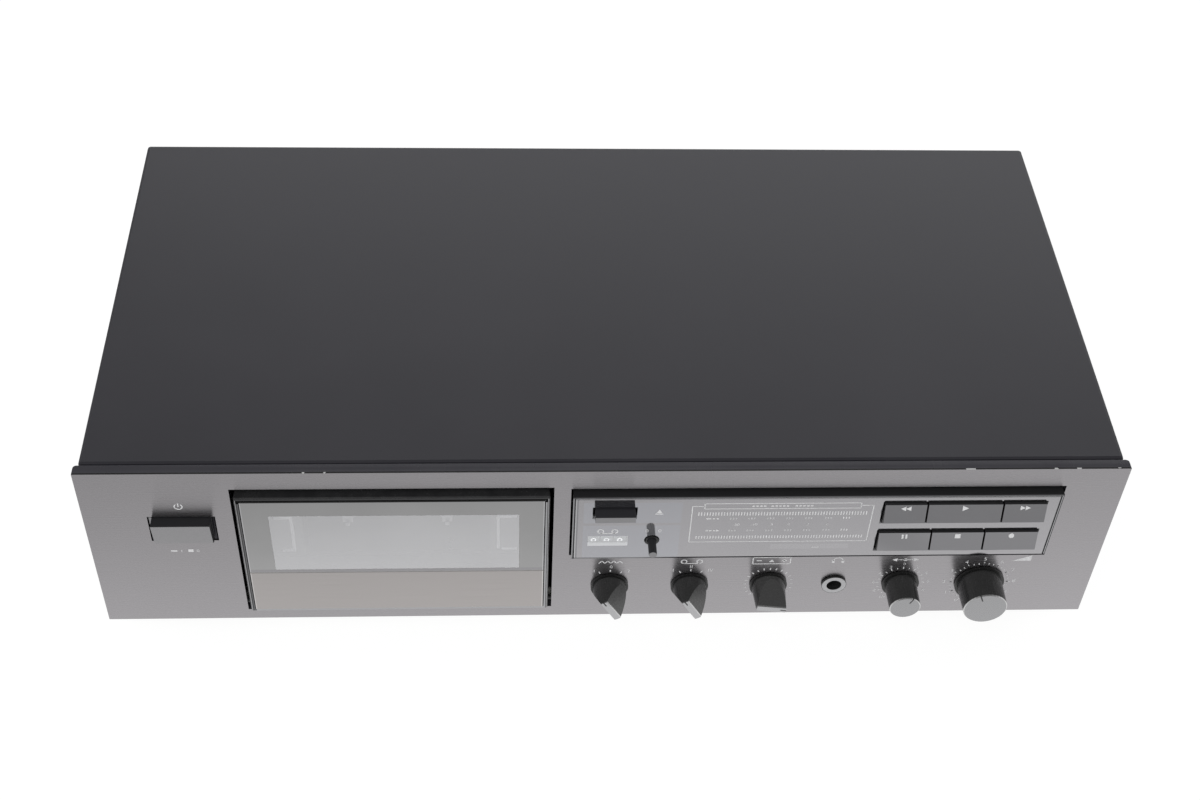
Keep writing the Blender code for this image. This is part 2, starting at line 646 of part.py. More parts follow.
def stem_holes(name, play, ys):
    """A clear hole for each knob's stem."""
    return [cut_round("%s_%d" % (name, i), (x, KNOB_Z), STEM_RADIUS + play, ys)
            for i, x in enumerate((NR_X, TAPE_X, BIAS_X, BALANCE_X, LEVEL_X))]


def power_slot(grow, ys):
    """The power button's slot as three pairs, widened evenly by grow."""
    return ((POWER_SLOT_LEFT - grow, POWER_SLOT_LEFT + POWER_SLOT_WIDTH + grow), ys,
            (POWER_BOTTOM - POWER_SLOT_MARGIN - grow,
             POWER_BOTTOM + POWER_HEIGHT + POWER_SLOT_MARGIN + grow))


def make_front_panel():
    plan = [(-HALF_PANEL, 0), (HALF_PANEL, 0)]
    for side, turns in ((1, range(4)), (-1, range(3, -1, -1))):
        for turn in turns:
            lean = turn * pi / 6
            plan.append((side * (HALF_PANEL - PANEL_CORNER * (1 - cos(lean))),
                         PANEL_THICK - PANEL_CORNER * (1 - sin(lean))))
    panel = outline_solid("front_panel", [plan], PANEL_HEIGHT, Matrix.Translation((0, 0, PANEL_HEIGHT / 2)))
    through = (-CUT, PANEL_THICK + CUT)
    left, right = DOOR_LEFT - DOOR_SIDE_GAP, DOOR_RIGHT + DOOR_SIDE_GAP
    bite = HINGE_PIN_BITE + GAP
    cut(panel, cut_box("door_opening", (left, right), through,
                       (DOOR_BOTTOM - DOOR_SIDE_GAP, DOOR_TOP + DOOR_TOP_GAP)),
        cut_box("bezel_opening", *bezel_opening(through)),
        cut_box("power_slot", *power_slot(0, through)),
        *stem_holes("panel_stem", STEM_HOLE_PLAY, through),
        cut_round("jack_hole", (JACK_X, KNOB_Z), JACK_BARREL_RADIUS + GAP, through),
        cut_round("hinge_holes", (HINGE_Y, HINGE_Z), HINGE_PIN_RADIUS + GAP,
                  (left - bite, right + bite), "X", STEPS_SMALL))
    finish(panel, *GREY_METAL)


def make_door():
    """Door frame with its hinge pins, the pane, the lower plate and the cassette holder."""
    frame = box("door_frame", (DOOR_LEFT, DOOR_RIGHT), (-DOOR_PROUD, DOOR_REAR),
                (DOOR_BOTTOM, DOOR_TOP))
    round_edges(frame, DOOR_RIM / 3)
    left, right = DOOR_LEFT + DOOR_RIM, DOOR_RIGHT - DOOR_RIM
    bottom, top = DOOR_BOTTOM + DOOR_RIM, DOOR_TOP - DOOR_RIM
    reach = DOOR_SIDE_GAP + HINGE_PIN_BITE
    ahead = -DOOR_PROUD - CUT
    cut(frame, cut_box("door_pocket", (left, right), (ahead, PANE_SEAT), (bottom, top)),
        cut_box("door_view", (DOOR_LEFT + WINDOW_SIDE, DOOR_RIGHT - WINDOW_SIDE),
                (ahead, DOOR_REAR + CUT), (WINDOW_BOTTOM, WINDOW_TOP)))
    for name, xs in (("left", (DOOR_LEFT - reach, left)), ("right", (right, DOOR_RIGHT + reach))):
        join(frame, add_round("hinge_pin_" + name, (HINGE_Y, HINGE_Z), HINGE_PIN_RADIUS, xs, "X",
                              STEPS_SMALL))
    finish(set_origin(frame, DOOR_CENTRE_X, HINGE_Y, HINGE_Z), *BLACK_PLASTIC)

    ys = (-DOOR_PROUD - PANE_PROUD, PANE_REAR)
    xs = (left + GAP, right - GAP)
    pane = box("door_window", xs, ys, (PLATE_TOP + GAP, top - GAP))
    plate = box("door_plate", xs, ys, (bottom + GAP, PLATE_TOP))
    for piece, look in ((pane, WINDOW), (plate, GREY_METAL)):
        finish(set_origin(piece, DOOR_CENTRE_X, HINGE_Y, HINGE_Z), *look)
    make_holder()


def make_holder():
    """Two end channels that grip the cassette, joined by a web below the window."""
    wall = HOLDER_WALL
    outer = CASSETTE_WIDTH / 2 + GAP + wall
    grip = CASSETTE_WIDTH / 2 - HOLDER_GRIP
    front, rear = CASSETTE_FRONT - GAP, CASSETTE_REAR + GAP
    top, bottom = CASSETTE_TOP - HOLDER_DROP, CASSETTE_BOTTOM - GAP - wall
    holder = box("cassette_holder", (DOOR_CENTRE_X - outer, DOOR_CENTRE_X + outer),
                 (front - wall, rear + wall), (bottom, top))
    inner = CASSETTE_WIDTH / 2 + GAP
    cut(holder, cut_box("holder_pocket", (DOOR_CENTRE_X - inner, DOOR_CENTRE_X + inner), (front, rear),
                        (CASSETTE_BOTTOM - GAP, top + CUT)),
        cut_box("holder_middle", (DOOR_CENTRE_X - grip, DOOR_CENTRE_X + grip), (front, rear + wall + CUT),
                (bottom - CUT, top + CUT)),
        cut_box("holder_view", (DOOR_CENTRE_X - grip, DOOR_CENTRE_X + grip), (front - wall - CUT, rear),
                (HOLDER_WEB_TOP, top + CUT)))
    for name, side in (("left", -1), ("right", 1)):
        middle = DOOR_CENTRE_X + side * HOLDER_BOSS_SPACING / 2
        join(holder, add_box("holder_boss_" + name, (middle - HOLDER_BOSS / 2, middle + HOLDER_BOSS / 2),
                             (DOOR_REAR + GAP, front - wall / 2),
                             (HOLDER_WEB_TOP - HOLDER_BOSS - wall, HOLDER_WEB_TOP - wall)))
    finish(set_origin(holder, DOOR_CENTRE_X, HINGE_Y, HINGE_Z), *BLACK_PLASTIC)


def make_mechanism():
    """The upright plate and what turns, slides and drives on it."""
    half = DOOR_WIDTH / 2
    plate = box("mechanism_plate", (DOOR_CENTRE_X - half, DOOR_CENTRE_X + half),
                (DECK_PLATE_Y, DECK_PLATE_REAR), (FLOOR_TOP + GAP, DECK_PLATE_TOP))
    through = (DECK_PLATE_Y - CUT, DECK_PLATE_REAR + BEARING_LENGTH + CUT)
    capstan = (CAPSTAN_AT_X, CAPSTAN_AT_Z)
    join(plate, add_round("bearing", capstan, BEARING_RADIUS,
                          (DECK_PLATE_Y + DECK_PLATE_THICK / 2, DECK_PLATE_REAR + BEARING_LENGTH)),
         add_round("pivot_pin", (PIVOT_X, PIVOT_Z), PIVOT_RADIUS,
                   (ARM_Y, DECK_PLATE_Y + DECK_PLATE_THICK / 2), "Y", STEPS_SMALL))
    cut(plate, cut_round("bearing_bore", capstan, CAPSTAN_RADIUS + GAP, through, "Y", STEPS_SMALL))
    for name, side in (("supply_spindle", -1), ("takeup_spindle", 1)):
        centre = (DOOR_CENTRE_X + side * HUB_SPACING / 2, HUB_Z)
        cut(plate, cut_round(name + "_bore", centre, SHAFT_RADIUS + GAP,
                             (DECK_PLATE_Y - CUT, DECK_PLATE_REAR + CUT), "Y", STEPS_SMALL))
        make_spindle(name, centre)
    finish(plate, *STEEL)

    depth = FLYWHEEL_Y - CAPSTAN_TIP_Y
    end = depth + FLYWHEEL_THICK
    profile = [(0, 0), (CAPSTAN_RADIUS, 0), (CAPSTAN_RADIUS, depth), (FLYWHEEL_RADIUS, depth),
               (FLYWHEEL_RADIUS, end), (0, end)]
    flywheel = turned("capstan_flywheel", profile, capstan, CAPSTAN_TIP_Y, STEPS_FINE)
    finish(flywheel, *STEEL)
    make_head_and_roller()
    make_drive()


def make_spindle(name, centre):
    """A reel spindle: splined hub, reel table, shaft through the plate, retaining collar."""
    table_rear = DECK_PLATE_Y - REEL_SETBACK
    table = table_rear - REEL_THICK - SPINDLE_TIP_Y
    back = BEHIND_PLATE - SPINDLE_TIP_Y
    profile = [(0, 0), (SPINDLE_RADIUS / 2, 0), (SPINDLE_RADIUS, SPINDLE_RADIUS), (SPINDLE_RADIUS, table),
               (REEL_RADIUS, table), (REEL_RADIUS, table + REEL_THICK), (SHAFT_RADIUS, table + REEL_THICK),
               (SHAFT_RADIUS, back), (COLLAR_RADIUS, back), (COLLAR_RADIUS, back + COLLAR_THICK),
               (0, back + COLLAR_THICK)]
    finish(turned(name, profile, centre, SPINDLE_TIP_Y), *BLACK_PLASTIC)


def make_head_and_roller():
    base_rear = DECK_PLATE_Y - GAP
    base_front = base_rear - HEAD_BASE_THICK
    base_top = CASSETTE_BOTTOM - HEAD_BASE_DROP
    left = DOOR_CENTRE_X - HEAD_BASE_WIDTH * HEAD_BASE_LEFT_SHARE
    base = box("head_base", (left, left + HEAD_BASE_WIDTH), (base_front, base_rear),
               (base_top - HEAD_BASE_HEIGHT, base_top))
    finish(base, *STEEL)
    head_top = CASSETTE_BOTTOM - HEAD_DROP
    head = box("tape_head", (DOOR_CENTRE_X - HEAD_WIDTH / 2, DOOR_CENTRE_X + HEAD_WIDTH / 2),
               (HEAD_FRONT, base_front - GAP), (head_top - HEAD_HEIGHT, head_top))
    finish(round_edges(head, HEAD_WIDTH / 8, 2), *STEEL)

    pivot, axle = (PIVOT_X, PIVOT_Z), (CAPSTAN_AT_X, ROLLER_Z)
    ys = (ARM_Y, ARM_Y + ARM_THICK)
    arm = box("pinch_arm", (axle[0], pivot[0]), ys, (ROLLER_Z - ARM_WIDTH / 2, ROLLER_Z + ARM_WIDTH / 2))
    join(arm, add_round("arm_boss", pivot, ARM_BOSS_RADIUS, (ARM_Y, DECK_PLATE_Y - GAP)),
         add_round("arm_end", axle, ARM_WIDTH / 2, ys),
         add_round("arm_axle", axle, AXLE_RADIUS, (ROLLER_FRONT, ARM_Y + ARM_THICK / 2), "Y",
                   STEPS_SMALL))
    cut(arm, cut_round("arm_bore", pivot, PIVOT_RADIUS + GAP, (ARM_Y - CUT, DECK_PLATE_Y), "Y",
                       STEPS_SMALL))
    finish(set_origin(arm, PIVOT_X, ARM_Y, PIVOT_Z), *STEEL)

    roller = cylinder("pinch_roller", axle, ROLLER_RADIUS, (ROLLER_FRONT, ROLLER_FRONT + ROLLER_THICK))
    cut(roller, cut_round("roller_bore", axle, AXLE_RADIUS + GAP,
                          (ROLLER_FRONT - CUT, ROLLER_FRONT + ROLLER_THICK + CUT), "Y", STEPS_SMALL))
    finish(set_origin(roller, axle[0], ROLLER_FRONT, axle[1]), *RUBBER)


def belt_loop(first, second, grow):
    """The line of a belt round two pulleys, each (x, z, radius), grown evenly by grow."""
    (x1, z1, r1), (x2, z2, r2) = first, second
    r1, r2 = r1 + grow, r2 + grow
    line = atan2(z2 - z1, x2 - x1)
    lean = acos((r1 - r2) / hypot(x2 - x1, z2 - z1))
    points = []
    for x, z, r, start, sweep in ((x1, z1, r1, line + lean, 2 * (pi - lean)),
                                  (x2, z2, r2, line - lean, 2 * lean)):
        for i in range(STEPS + 1):
            angle = start + sweep * i / STEPS
            points.append((x + r * cos(angle), z + r * sin(angle)))
    return points


def make_drive():
    """Capstan motor with its pulley and belt, reel motor, and the solenoid that lifts the heads."""
    centre = (MOTOR_AT_X, MOTOR_Z)
    rear = BEHIND_PLATE + MOTOR_LENGTH
    motor = cylinder("capstan_motor", centre, MOTOR_RADIUS, (BEHIND_PLATE, rear))
    tip = rear + MOTOR_BOSS - PULLEY_SHAFT_DEPTH
    join(motor, add_round("motor_boss", centre, MOTOR_BOSS_RADIUS,
                          (rear - MOTOR_BOSS, rear + MOTOR_BOSS)))
    cut(motor, cut_round("motor_bore", centre, PULLEY_SHAFT_RADIUS + GAP,
                         (tip - GAP, rear + MOTOR_BOSS + CUT), "Y", STEPS_SMALL))
    finish(motor, *STEEL)
    start = BELT_Y - BELT_WIDTH / 2 - MOTOR_BOSS - tip
    end = BELT_Y + BELT_WIDTH / 2 + MOTOR_BOSS / 2 - tip
    pulley = turned("motor_pulley", [(0, 0), (PULLEY_SHAFT_RADIUS, 0), (PULLEY_SHAFT_RADIUS, start),
                                     (PULLEY_RADIUS, start), (PULLEY_RADIUS, end), (0, end)], centre, tip)
    finish(pulley, *BRASS)

    wheels = (MOTOR_AT_X, MOTOR_Z, PULLEY_RADIUS), (CAPSTAN_AT_X, CAPSTAN_AT_Z, FLYWHEEL_RADIUS)
    frame = Matrix(((1, 0, 0, 0), (0, 0, -1, BELT_Y), (0, 1, 0, 0), (0, 0, 0, 1)))
    belt = outline_solid("drive_belt", [belt_loop(*wheels, GAP + BELT_THICK), belt_loop(*wheels, GAP)],
                         BELT_WIDTH, frame)
    finish(belt, *RUBBER)

    reel_motor = cylinder("reel_motor", (DOOR_CENTRE_X, HUB_Z + REEL_MOTOR_RISE), REEL_MOTOR_RADIUS,
                          (BEHIND_PLATE, BEHIND_PLATE + REEL_MOTOR_LENGTH))
    finish(reel_motor, *STEEL)
    left = DOOR_CENTRE_X + SOLENOID_X - SOLENOID_WIDTH / 2
    solenoid = box("head_solenoid", (left, left + SOLENOID_WIDTH),
                   (BEHIND_PLATE, BEHIND_PLATE + SOLENOID_LENGTH),
                   (FLOOR_TOP + GAP, FLOOR_TOP + GAP + SOLENOID_HEIGHT))
    finish(solenoid, *STEEL)


def key_rows():
    """Each transport key as (name, left, right, slot bottom), worked out from the slots' width."""
    low, high = KEY_SLOT_LEFT + KEY_MARGIN, KEY_SLOT_RIGHT - KEY_MARGIN
    keys = []
    for row_z, widths, names in (
            (KEY_TOP_ROW_Z, (KEY_REWIND_WIDTH, KEY_PLAY_WIDTH), ("key_rewind", "key_play", "key_forward")),
            (KEY_LOW_ROW_Z, (KEY_PAUSE_WIDTH, KEY_STOP_WIDTH), ("key_pause", "key_stop", "key_record"))):
        left = low
        for name, width in zip(names, (*widths, 0)):
            right = left + width if width else high
            keys.append((name, left, right, row_z))
            left = right + KEY_GAP
    return keys


def make_control_bezel():
    """The bezel shell, its glossy window, and everything that shows or moves through them."""
    bezel = box("control_bezel", (BEZEL_LEFT, BEZEL_RIGHT), (-BEZEL_PROUD, BEZEL_REAR),
                (BEZEL_BOTTOM, BEZEL_TOP))
    rim, wall = BEZEL_RIM, BEZEL_WALL
    edge = rim + GAP
    glass = box("control_window", (BEZEL_LEFT + edge, BEZEL_RIGHT - edge), (GLASS_FACE, GLASS_REAR),
                (BEZEL_BOTTOM + edge, BEZEL_TOP - edge))
    cut(bezel, cut_box("glass_pocket", (BEZEL_LEFT + rim, BEZEL_RIGHT - rim),
                       (GLASS_FACE - CUT, GLASS_SEAT), (BEZEL_BOTTOM + rim, BEZEL_TOP - rim)),
        cut_box("bezel_hollow", (BEZEL_LEFT + wall, BEZEL_RIGHT - wall),
                (BEZEL_FACE_REAR, BEZEL_REAR + CUT), (BEZEL_BOTTOM + wall, BEZEL_TOP - wall)))
    through = (GLASS_FACE - CUT, BEZEL_FACE_REAR + CUT)
    behind = (GLASS_REAR, BEZEL_FACE_REAR + CUT)
    shared = [cut_box("key_slot_%d" % i, (KEY_SLOT_LEFT, KEY_SLOT_RIGHT), through,
                      (z, z + KEY_SLOT_HEIGHT))
              for i, z in enumerate((KEY_TOP_ROW_Z, KEY_LOW_ROW_Z))]
    eject = EJECT_LEFT - EJECT_GAP, EJECT_LEFT + EJECT_WIDTH + EJECT_GAP
    shared.append(cut_box("eject_slot", eject, through,
                          (EJECT_BOTTOM - EJECT_GAP, EJECT_BOTTOM + EJECT_HEIGHT + EJECT_GAP)))
    shared.append(cut_round("reset_hole", (RESET_X, RESET_Z), RESET_SLEEVE_RADIUS + GAP, through))
    cut(glass, *shared)
    wheels = WHEEL_PITCH + WHEEL_WIDTH / 2 + COUNTER_WINDOW_MARGIN
    cut(bezel, *shared,
        cut_box("counter_hole", (COUNTER_X - wheels, COUNTER_X + wheels), behind,
                (COUNTER_Z - WHEEL_RADIUS, COUNTER_Z + WHEEL_RADIUS)),
        cut_box("meter_hole", (METER_LEFT - METER_MARGIN, METER_RIGHT + METER_MARGIN), behind,
                (METER_BOTTOM - METER_MARGIN, METER_TOP + METER_MARGIN)))
    finish(bezel, *BLACK_PLASTIC)
    finish(glass, *GLOSS)
    meter = box("meter_unit", (METER_LEFT, METER_RIGHT), (GLASS_SEAT, BOARD_Y - GAP),
                (METER_BOTTOM, METER_TOP))
    finish(meter, *GLOSS)
    make_control_board()
    make_keys()
    make_counter()


def make_control_board():
    board = box("control_board", (BOARD_LEFT, BEZEL_RIGHT - BOARD_MARGIN), (BOARD_Y, BOARD_Y + BOARD_THICK),
                (BEZEL_BOTTOM + BOARD_MARGIN, BEZEL_TOP - BOARD_MARGIN))
    face = KEY_REAR + KEY_TRAVEL + GAP
    for name, left, right, low in key_rows():
        x, z = (left + right) / 2, low + KEY_SLOT_HEIGHT / 2
        half = KEY_SWITCH / 2
        join(board, add_box(name + "_switch", (x - half, x + half),
                            (face, BOARD_Y + BOARD_THICK / 2), (z - half, z + half)))
    finish(board, *BOARD_GREEN)


def make_keys():
    """Transport keys with slanted faces, the eject button and the power button."""
    for name, left, right, low in key_rows():
        bottom, top = low + KEY_MARGIN, low + KEY_SLOT_HEIGHT - KEY_MARGIN
        profile = [(KEY_REAR, bottom), (KEY_REAR, top), (GLASS_FACE - KEY_FACE_TOP_PROUD, top),
                   (GLASS_FACE - KEY_FACE_LOW_PROUD, bottom + KEY_CHIN), (GLASS_FACE, bottom)]
        finish(side_profile(name, profile, (left, right)), *KEY_GREY)

    top = EJECT_BOTTOM + EJECT_HEIGHT
    end, front = GLASS_FACE + EJECT_LENGTH, GLASS_FACE - EJECT_PROUD
    profile = [(end, EJECT_BOTTOM), (end, top), (front, top), (front, EJECT_BOTTOM + EJECT_CHIN),
               (GLASS_FACE, EJECT_BOTTOM)]
    finish(side_profile("eject_button", profile, (EJECT_LEFT, EJECT_LEFT + EJECT_WIDTH)), *BLACK_PLASTIC)

    top = POWER_BOTTOM + POWER_HEIGHT
    profile = [(POWER_REAR, POWER_BOTTOM), (POWER_REAR, top), (-POWER_TOP_PROUD, top),
               (-POWER_LOW_PROUD, POWER_BOTTOM + POWER_CHIN), (-POWER_LOW_PROUD / 2, POWER_BOTTOM)]
    button = side_profile("power_button", profile, (POWER_LEFT, POWER_LEFT + POWER_WIDTH))
    reach = POWER_SIDE_PLAY - POWER_FLANGE_PLAY
    join(button, add_box("power_flange", (POWER_LEFT - reach, POWER_LEFT + POWER_WIDTH + reach),
                         (POWER_FLANGE_SINK, POWER_FLANGE_SINK + POWER_FLANGE_THICK), (POWER_BOTTOM, top)))
    finish(button, *GREY_METAL)
    middle = POWER_LEFT + POWER_WIDTH / 2
    half = POWER_SWITCH_WIDTH / 2
    switch = box("power_switch", (middle - half, middle + half),
                 (POWER_SWITCH_Y, POWER_SWITCH_Y + POWER_SWITCH_LENGTH), (POWER_BOTTOM, top))
    reach = (SUBFRAME_REAR + GAP, POWER_SWITCH_Y + POWER_SWITCH_LENGTH / 2)
    foot = POWER_BOTTOM - POWER_SLOT_MARGIN * 2
    low = foot - SHEET_THICK * 2
    join(switch, add_box("power_bracket", (middle - half, middle + half), reach,
                         (low, low + SHEET_THICK)),
         add_box("power_web", (middle - half / 2, middle + half / 2),
                 (POWER_SWITCH_Y, POWER_SWITCH_Y + SHEET_THICK), (low, POWER_BOTTOM + SHEET_THICK)))
    finish(switch, *BLACK_PLASTIC)


def make_counter():
    """Counter frame with its axle and reset sleeve, three figure wheels and the reset button."""
    reach = WHEEL_PITCH + WHEEL_WIDTH / 2 + GAP
    right = RESET_X + RESET_SLEEVE_RADIUS + COUNTER_CHEEK
    back = (BOARD_Y, BOARD_Y + COUNTER_BACK_THICK)
    bottom = BEZEL_BOTTOM + BOARD_MARGIN
    frame = box("counter_frame", (COUNTER_X - reach - COUNTER_CHEEK, right), back,
                (bottom, COUNTER_Z + COUNTER_BACK_TOP))
    cheek_z = (COUNTER_Z - WHEEL_RADIUS, COUNTER_Z + WHEEL_RADIUS)
    inside_back = BOARD_Y + COUNTER_BACK_THICK / 2
    for name, xs in (("left", (COUNTER_X - reach - COUNTER_CHEEK, COUNTER_X - reach)),
                     ("right", (COUNTER_X + reach, COUNTER_X + reach + COUNTER_CHEEK))):
        join(frame, add_box("cheek_" + name, xs, (BEZEL_FACE_REAR + GAP, inside_back), cheek_z))
    axle = (COUNTER_X - reach - COUNTER_CHEEK / 2, COUNTER_X + reach + COUNTER_CHEEK / 2)
    join(frame, add_round("counter_axle", (WHEEL_Y, COUNTER_Z), WHEEL_AXLE_RADIUS, axle, "X", STEPS_SMALL),
         add_round("reset_sleeve", (RESET_X, RESET_Z), RESET_SLEEVE_RADIUS,
                   (GLASS_FACE - GLASS_PROUD, inside_back), "Y", SLEEVE_SIDES))
    cut(frame, cut_round("reset_bore", (RESET_X, RESET_Z), RESET_RADIUS + GAP,
                         (GLASS_FACE - GLASS_PROUD - CUT, BOARD_Y), "Y", STEPS_SMALL))
    finish(frame, *BLACK_PLASTIC)

    for i, name in enumerate(("wheel_hundreds", "wheel_tens", "wheel_units")):
        x = COUNTER_X + (i - 1) * WHEEL_PITCH
        xs = (x - WHEEL_WIDTH / 2, x + WHEEL_WIDTH / 2)
        wheel = cylinder(name, (WHEEL_Y, COUNTER_Z), WHEEL_RADIUS - GAP, xs, "X")
        cut(wheel, cut_round(name, (WHEEL_Y, COUNTER_Z), WHEEL_AXLE_RADIUS + GAP,
                             (xs[0] - CUT, xs[1] + CUT), "X", STEPS_SMALL))
        finish(set_origin(wheel, x, WHEEL_Y, COUNTER_Z), *CREAM)
    reset = cylinder("reset_button", (RESET_X, RESET_Z), RESET_RADIUS,
                     (GLASS_FACE - RESET_PROUD, GLASS_FACE + RESET_LENGTH), "Y", STEPS_SMALL)
    finish(reset, *BLACK_PLASTIC)


def stem_profile(radius, reach):
    """The rear part that all knobs share, from the skirt's edge back to the stem's end."""
    end = reach + CONTROL_Y + STEM_DEPTH
    return [(radius, reach - SKIRT_THICK), (radius, reach - GAP), (STEM_RADIUS, reach - GAP),
            (STEM_RADIUS, end), (0, end)]


def make_round_knob(name, x, radius, skirt, reach):
    """A turned knob: rounded front edge, slight draft, wider skirt, stem."""
    profile = [(0, 0), (radius - KNOB_EDGE - KNOB_DRAFT, 0), (radius - KNOB_DRAFT, KNOB_EDGE),
               (radius, reach - SKIRT_THICK)]
    knob = turned(name, profile + stem_profile(skirt, reach), (x, KNOB_Z), -reach, STEPS_FINE)
    return finish(knob, *BLACK_PLASTIC)


def make_blade_knob(name, x, turn):
    """A selector knob: round foot, two flat flanks, and a narrow bar that points."""
    reach = KNOB_REACH
    half, root = BLADE_WIDTH / 2, BLADE_BASE_RADIUS
    knob = turned(name, [(0, 0), (BLADE_TIP_RADIUS, 0), (BLADE_BASE_RADIUS, reach - SKIRT_THICK)]
                  + stem_profile(SKIRT_RADIUS, reach), (x, KNOB_Z), -reach, STEPS_FINE)
    start = -reach * BLADE_ROOT_SHARE
    place = Matrix.Translation((x, 0, KNOB_Z)) @ Matrix.Rotation(turn, 4, "Y")
    for side in (-1, 1):
        flank = [(side * half, -reach - CUT), (side * half, -reach), (side * root, start),
                 (side * (root + CUT), start), (side * (root + CUT), -reach - CUT)]
        cut(knob, outline_solid("%s_flank_%d_cut" % (name, side), [flank], SKIRT_RADIUS * 3, place,
                                "cutters"))
    return finish(knob, *BLACK_PLASTIC)


def make_knobs():
    """Five knobs, the controls behind them and the headphone jack."""
    make_blade_knob("nr_knob", NR_X, SELECTOR_TURN)
    make_blade_knob("tape_knob", TAPE_X, SELECTOR_TURN)
    make_blade_knob("bias_knob", BIAS_X, BIAS_TURN)
    make_round_knob("balance_knob", BALANCE_X, BALANCE_RADIUS, SKIRT_RADIUS, KNOB_REACH)
    make_round_knob("level_knob", LEVEL_X, LEVEL_RADIUS, LEVEL_SKIRT_RADIUS, LEVEL_REACH)
    for name, x, size, length in (("nr_switch", NR_X, SWITCH_SIZE, SWITCH_LENGTH),
                                  ("tape_switch", TAPE_X, SWITCH_SIZE, SWITCH_LENGTH),
                                  ("bias_pot", BIAS_X, CONTROL_SIZE, POT_LENGTH),
                                  ("balance_pot", BALANCE_X, CONTROL_SIZE, POT_LENGTH),
                                  ("level_pot", LEVEL_X, CONTROL_SIZE, POT_LENGTH)):
        body = box(name, (x - size / 2, x + size / 2), (CONTROL_Y, CONTROL_Y + length),
                   (KNOB_Z - size / 2, KNOB_Z + size / 2))
        cut(body, cut_round(name + "_bore", (x, KNOB_Z), STEM_RADIUS + GAP,
                            (CONTROL_Y - CUT, CONTROL_Y + STEM_DEPTH + GAP)))
        finish(body, *STEEL)

    centre = (JACK_X, KNOB_Z)
    jack = cylinder("phones_jack", centre, JACK_COLLAR_RADIUS, (-JACK_COLLAR_PROUD, -GAP))
    half = JACK_BODY / 2
    join(jack, add_round("jack_barrel", centre, JACK_BARREL_RADIUS,
                         (-JACK_COLLAR_PROUD / 2, CONTROL_Y + half)),
         add_box("jack_body", (JACK_X - half, JACK_X + half), (CONTROL_Y, CONTROL_Y + JACK_LENGTH),
                 (KNOB_Z - half, KNOB_Z + half)))
    cut(jack, cut_round("jack_bore", centre, JACK_BORE_RADIUS,
                        (-JACK_COLLAR_PROUD - CUT, JACK_BORE_DEPTH)))
    finish(jack, *BLACK_PLASTIC)


def line_jacks():
    """The places of the four line jacks, two by two, above the main board."""
    low = MAIN_BOARD_TOP + GAP + LINE_LOW_RISE
    return [(LINE_X + side * LINE_SPACING_X / 2, z)
            for z in (low, low + LINE_SPACING_Z) for side in (-1, 1)]


def make_electronics():
    """Transformer, main board with its standoffs, smoothing capacitor, line jacks and cord gland."""
    base = FLOOR_TOP + GAP
    core = TRANSFORMER_CORE / 2
    transformer = box("power_transformer",
                      (TRANSFORMER_X - TRANSFORMER_WIDTH / 2, TRANSFORMER_X + TRANSFORMER_WIDTH / 2),
                      (TRANSFORMER_Y - core, TRANSFORMER_Y + core), (base, base + TRANSFORMER_HEIGHT))
    low = base + (TRANSFORMER_HEIGHT - WINDING_HEIGHT) / 2
    half, deep = TRANSFORMER_WIDTH / 2 - WINDING_SIDE, core + WINDING_PROUD
    join(transformer, add_box("winding", (TRANSFORMER_X - half, TRANSFORMER_X + half),
                              (TRANSFORMER_Y - deep, TRANSFORMER_Y + deep),
                              (low, low + WINDING_HEIGHT)))
    finish(transformer, *STEEL)

    board = box("main_board", (MAIN_BOARD_LEFT, MAIN_BOARD_RIGHT),
                (MAIN_BOARD_FRONT, MAIN_BOARD_REAR), (MAIN_BOARD_Z, MAIN_BOARD_TOP))
    inset = STANDOFF_INSET
    for i, (x, y) in enumerate((x, y) for x in (MAIN_BOARD_LEFT + inset, MAIN_BOARD_RIGHT - inset)
                               for y in (MAIN_BOARD_FRONT + inset, MAIN_BOARD_REAR - inset)):
        join(board, add_round("standoff_%d" % i, (x, y), STANDOFF_RADIUS,
                              (base, MAIN_BOARD_Z + BOARD_THICK / 2), "Z", STEPS_SMALL))
    finish(board, *BOARD_GREEN)
    capacitor = cylinder("smoothing_capacitor", (CAPACITOR_X, CAPACITOR_Y), CAPACITOR_RADIUS,
                         (MAIN_BOARD_TOP + GAP, MAIN_BOARD_TOP + GAP + CAPACITOR_HEIGHT), "Z")
    finish(capacitor, *BLACK_PLASTIC)

    block_z = MAIN_BOARD_TOP + GAP
    half = LINE_BLOCK_WIDTH / 2
    block = box("line_jack_block", (LINE_X - half, LINE_X + half),
                (REAR_INNER - GAP - LINE_BLOCK_DEPTH, REAR_INNER - GAP),
                (block_z, block_z + LINE_BLOCK_HEIGHT))
    for i, centre in enumerate(line_jacks()):
        join(block, add_round("line_jack_%d" % i, centre, LINE_RADIUS,
                              (REAR_INNER - LINE_BLOCK_DEPTH / 2, REAR_END)))
        cut(block, cut_round("line_bore_%d" % i, centre, LINE_BORE_RADIUS,
                             (REAR_END - LINE_BORE_DEPTH, REAR_END + CUT), "Y", STEPS_SMALL))
    finish(block, *BLACK_PLASTIC)

    centre = (GLAND_X, GLAND_Z)
    seat = REAR_FACE + GAP
    gland = cylinder("cord_gland", centre, GLAND_RADIUS + GLAND_FLANGE_REACH,
                     (seat, seat + GLAND_FLANGE))
    join(gland, add_round("gland_barrel", centre, GLAND_RADIUS, (REAR_INNER - GLAND_INSIDE, REAR_END)))
    cut(gland, cut_round("gland_bore", centre, GLAND_BORE_RADIUS,
                         (REAR_INNER - GLAND_INSIDE - CUT, REAR_END + CUT)))
    finish(gland, *BLACK_PLASTIC)


clear_scene()
make_case()
make_door()
make_mechanism()
make_control_bezel()
make_knobs()
make_electronics()
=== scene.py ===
from math import cos, pi, radians, sin

